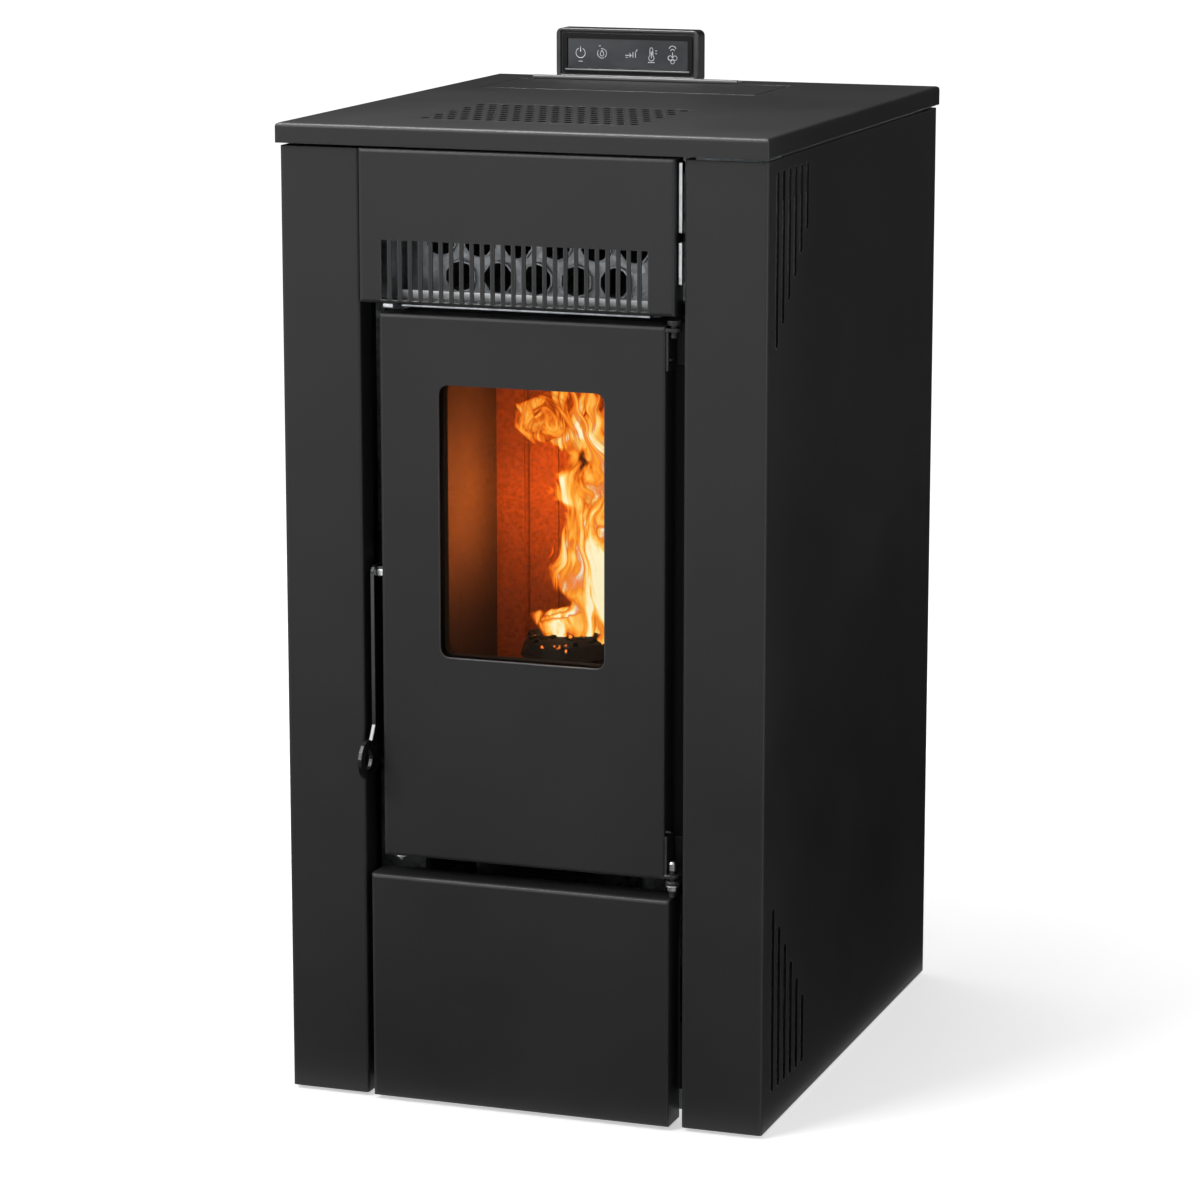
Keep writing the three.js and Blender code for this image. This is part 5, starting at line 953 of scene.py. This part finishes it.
def charred_heap():
    """A flat-topped mound that fills the pot, with half-burnt pellets sunk in it."""
    draw = random.Random(5)
    shape = bmesh.new()
    radius, foot, rise, turns, rings = 0.0455, 0.4262, 0.0215, 28, 9
    spread, sink = 0.036, 0.0012

    def mound(share):
        return foot + rise * (1 - share ** 5) ** 0.5

    top = shape.verts.new((POT_X, POT_Y, mound(0)))
    rows = []
    for ring in range(1, rings + 1):
        share = ring / rings
        rows.append([shape.verts.new((POT_X + radius * share * math.cos(math.tau * k / turns),
                                      POT_Y + radius * share * math.sin(math.tau * k / turns),
                                      mound(share) + draw.uniform(-0.0008, 0.0004) * (1 - share)))
                     for k in range(turns)])
    for k in range(turns):
        shape.faces.new((top, rows[0][k], rows[0][(k + 1) % turns]))
    for low, high in zip(rows, rows[1:]):
        band(shape, high, low)
    for _ in range(90):
        reach, angle = spread * math.sqrt(draw.random()), draw.uniform(0, math.tau)
        place = (POT_X + reach * math.cos(angle), POT_Y + reach * math.sin(angle),
                 mound(reach / radius) - sink)
        add_pellet(shape, place, draw.uniform(0, math.tau), draw.gauss(0, 0.12), draw.uniform(0.007, 0.013))
    char = pellet_finish("charred_pellets", (0.002, 0.002, 0.002), (0.008, 0.007, 0.006), 1.5)
    shaped_piece("charred_heap", shape, char, "pot")


hopper_pellets()
charred_heap()

# --------------------------------
# Fire. Thin curtains of burning gas stand over the burn pot; a field of heat
# sets their shape, colour and brightness. They ride on the pot. A small warm
# lamp lights the liners.

FLAME_FOOT = (-0.006, -0.1505, 0.440)
FLAME_HEIGHT = 0.266
FLAME_GLOW = 1.05
# the left edge's place across the sheet, from foot to tip, and how heat falls off with height
FLAME_EDGE = ((0.0, 0.41), (0.032, 0.24), (0.075, 0.20), (0.123, 0.40), (0.225, 0.28), (0.32, 0.30),
              (0.43, 0.37), (0.50, 0.40), (0.554, 0.26), (0.61, 0.30), (0.675, 0.41), (0.715, 0.33),
              (0.77, 0.12), (0.857, 0.04), (0.92, 0.22), (1.0, 0.40))
FLAME_COOLING = ((0.0, 0.0), (0.10, 0.02), (0.42, 0.14), (0.55, 0.34), (0.70, 0.50), (1.0, 0.75))
FLAME_SWAY, FLAME_LICKS = (0.9, 1.7, 1.0), (8.5, 3.4, 1.0)  # how fine the noise is, across and up
FLAME_RIGHT = 0.95
FLAME_SOFT = 0.15
FLAME_FRAY = 0.12


def curve_node(tree, spots):
    """A curve through the spots given, from 0 to 1 across."""
    made = node(tree, "FloatCurve")
    line = made.mapping.curves[0]
    line.points[0].location, line.points[1].location = spots[0], spots[-1]
    for spot in spots[1:-1]:
        line.points.new(*spot)
    made.mapping.update()
    return made


def flame_finish(seed):
    """Glowing gas: heat is greatest inside the outline and in the licks, and falls off as it rises."""
    material, tree, shader = new_finish("flame_" + str(seed), Base_Color=(0, 0, 0, 1), Specular_IOR_Level=0.0,
                                        Roughness=1.0, Emission_Strength=FLAME_GLOW)
    place = node(tree, "UVMap")
    axes = node(tree, "SeparateXYZ")
    slow = node(tree, "Mapping", Location=(seed * 3.1, seed * 1.7, seed * 0.9), Scale=FLAME_SWAY)
    sway = node(tree, "TexNoise", Scale=2.0, Detail=2.0)
    offset = node(tree, "Math", operation="SUBTRACT", _1=0.5)
    grow = node(tree, "MapRange", To_Min=0.25, To_Max=1.15)
    pushed = node(tree, "Math", operation="MULTIPLY")
    across = node(tree, "Math", operation="ADD")
    lick_place = node(tree, "CombineXYZ", Z=seed * 2.3)
    squeeze = node(tree, "VectorMath", operation="MULTIPLY", _1=FLAME_LICKS)
    licks = node(tree, "TexNoise", Scale=1.0, Detail=4.0, Roughness=0.55, Distortion=0.9)
    left = curve_node(tree, FLAME_EDGE)
    frayed = node(tree, "Math", operation="MULTIPLY_ADD", _1=FLAME_FRAY)
    from_left = node(tree, "Math", operation="SUBTRACT")
    from_right = node(tree, "Math", operation="SUBTRACT", _0=FLAME_RIGHT)
    nearest = node(tree, "Math", operation="MINIMUM")
    body = node(tree, "MapRange", From_Min=0.0, From_Max=FLAME_SOFT, To_Min=-0.55, To_Max=0.80)
    detail = node(tree, "Math", operation="MULTIPLY_ADD", _1=3.6, _2=-1.8)
    heat = node(tree, "Math", operation="ADD")
    thin = curve_node(tree, FLAME_COOLING)
    cooled = node(tree, "Math", operation="SUBTRACT")
    see = node(tree, "MapRange", From_Min=0.02, From_Max=0.42, interpolation_type="SMOOTHSTEP")
    glow = node(tree, "ValToRGB")
    ramp = glow.color_ramp
    ramp.elements[0].position, ramp.elements[0].color = 0.0, (0.25, 0.022, 0.001, 1)
    ramp.elements[1].position, ramp.elements[1].color = 1.0, (1.0, 0.93, 0.62, 1)
    for spot, colour in ((0.28, (0.80, 0.13, 0.006, 1)), (0.52, (1.0, 0.36, 0.03, 1)),
                         (0.76, (1.0, 0.66, 0.16, 1))):
        ramp.elements.new(spot).color = colour
    wire(tree,
         (place, "UV", axes, "Vector"), (place, "UV", slow, "Vector"), (slow, "Vector", sway, "Vector"),
         (sway, "Fac", offset, 0), (axes, "Y", grow, "Value"), (offset, "Value", pushed, 0),
         (grow, "Result", pushed, 1), (axes, "X", across, 0), (pushed, "Value", across, 1),
         (across, "Value", lick_place, "X"), (axes, "Y", lick_place, "Y"), (lick_place, "Vector", squeeze, 0),
         (squeeze, "Vector", licks, "Vector"), (offset, "Value", frayed, 0), (axes, "X", frayed, 2),
         (axes, "Y", left, "Value"), (frayed, "Value", from_left, 0), (left, "Value", from_left, 1),
         (frayed, "Value", from_right, 1), (from_left, "Value", nearest, 0),
         (from_right, "Value", nearest, 1), (nearest, "Value", body, "Value"), (licks, "Fac", detail, 0),
         (body, "Result", heat, 0), (detail, "Value", heat, 1), (axes, "Y", thin, "Value"),
         (heat, "Value", cooled, 0), (thin, "Value", cooled, 1), (cooled, "Value", see, "Value"),
         (see, "Result", shader, "Alpha"), (cooled, "Value", glow, "Fac"),
         (glow, "Color", shader, "Emission Color"))
    return material


def flame_sheet(seed, turn, width, offset):
    """A curved curtain of flame, wavy across and leaning as it rises."""
    columns, rows = 12, 30
    draw = random.Random(seed)
    phase = draw.uniform(0, math.tau)
    points, faces, spots = [], [], []
    for row in range(rows + 1):
        rise = row / rows
        for column in range(columns + 1):
            side = column / columns
            across = (side - 0.5) * width
            wave = 0.012 * math.sin(phase + 5.0 * side + 4.0 * rise) * (0.3 + rise)
            lean = 0.006 * math.sin(phase + 3.0 * rise)
            x = (across + lean) * math.cos(turn) - (wave + offset) * math.sin(turn)
            y = (across + lean) * math.sin(turn) + (wave + offset) * math.cos(turn)
            points.append((FLAME_FOOT[0] + x, FLAME_FOOT[1] + y, FLAME_FOOT[2] + rise * FLAME_HEIGHT))
            spots.append((side, rise))
    for row in range(rows):
        for column in range(columns):
            a = row * (columns + 1) + column
            faces.append((a, a + 1, a + columns + 2, a + columns + 1))
    mesh = bpy.data.meshes.new("flame")
    mesh.from_pydata(points, [], faces)
    layer = mesh.uv_layers.new(name="FlameMap")
    for loop in mesh.loops:
        layer.data[loop.index].uv = spots[loop.vertex_index]
    for face in mesh.polygons:
        face.use_smooth = True
    sheet = bpy.data.objects.new("flame_" + str(seed), mesh)
    scene.collection.objects.link(sheet)
    mesh.materials.append(flame_finish(seed))
    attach(sheet, "pot")
    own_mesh(sheet)


for seed, turn, width, offset in ((1, 0.34, 0.15, 0.0), (2, 0.30, 0.15, 0.020), (3, 0.40, 0.15, -0.018)):
    flame_sheet(seed, turn, width, offset)

FIRE_COLOUR = (1.0, 0.42, 0.12)
FIRE_POWER = 4.6
FIRE_MIDDLE = (0.0, -0.165, 0.59)
fire_light = bpy.data.lights.new("fire_glow", "POINT")
fire_light.color = FIRE_COLOUR
fire_light.energy = FIRE_POWER
fire_light.shadow_soft_size = 0.03
fire_lamp = bpy.data.objects.new("fire_glow", fire_light)
fire_lamp.location = FIRE_MIDDLE
fire_lamp.visible_camera = fire_lamp.visible_transmission = fire_lamp.visible_glossy = False
scene.collection.objects.link(fire_lamp)
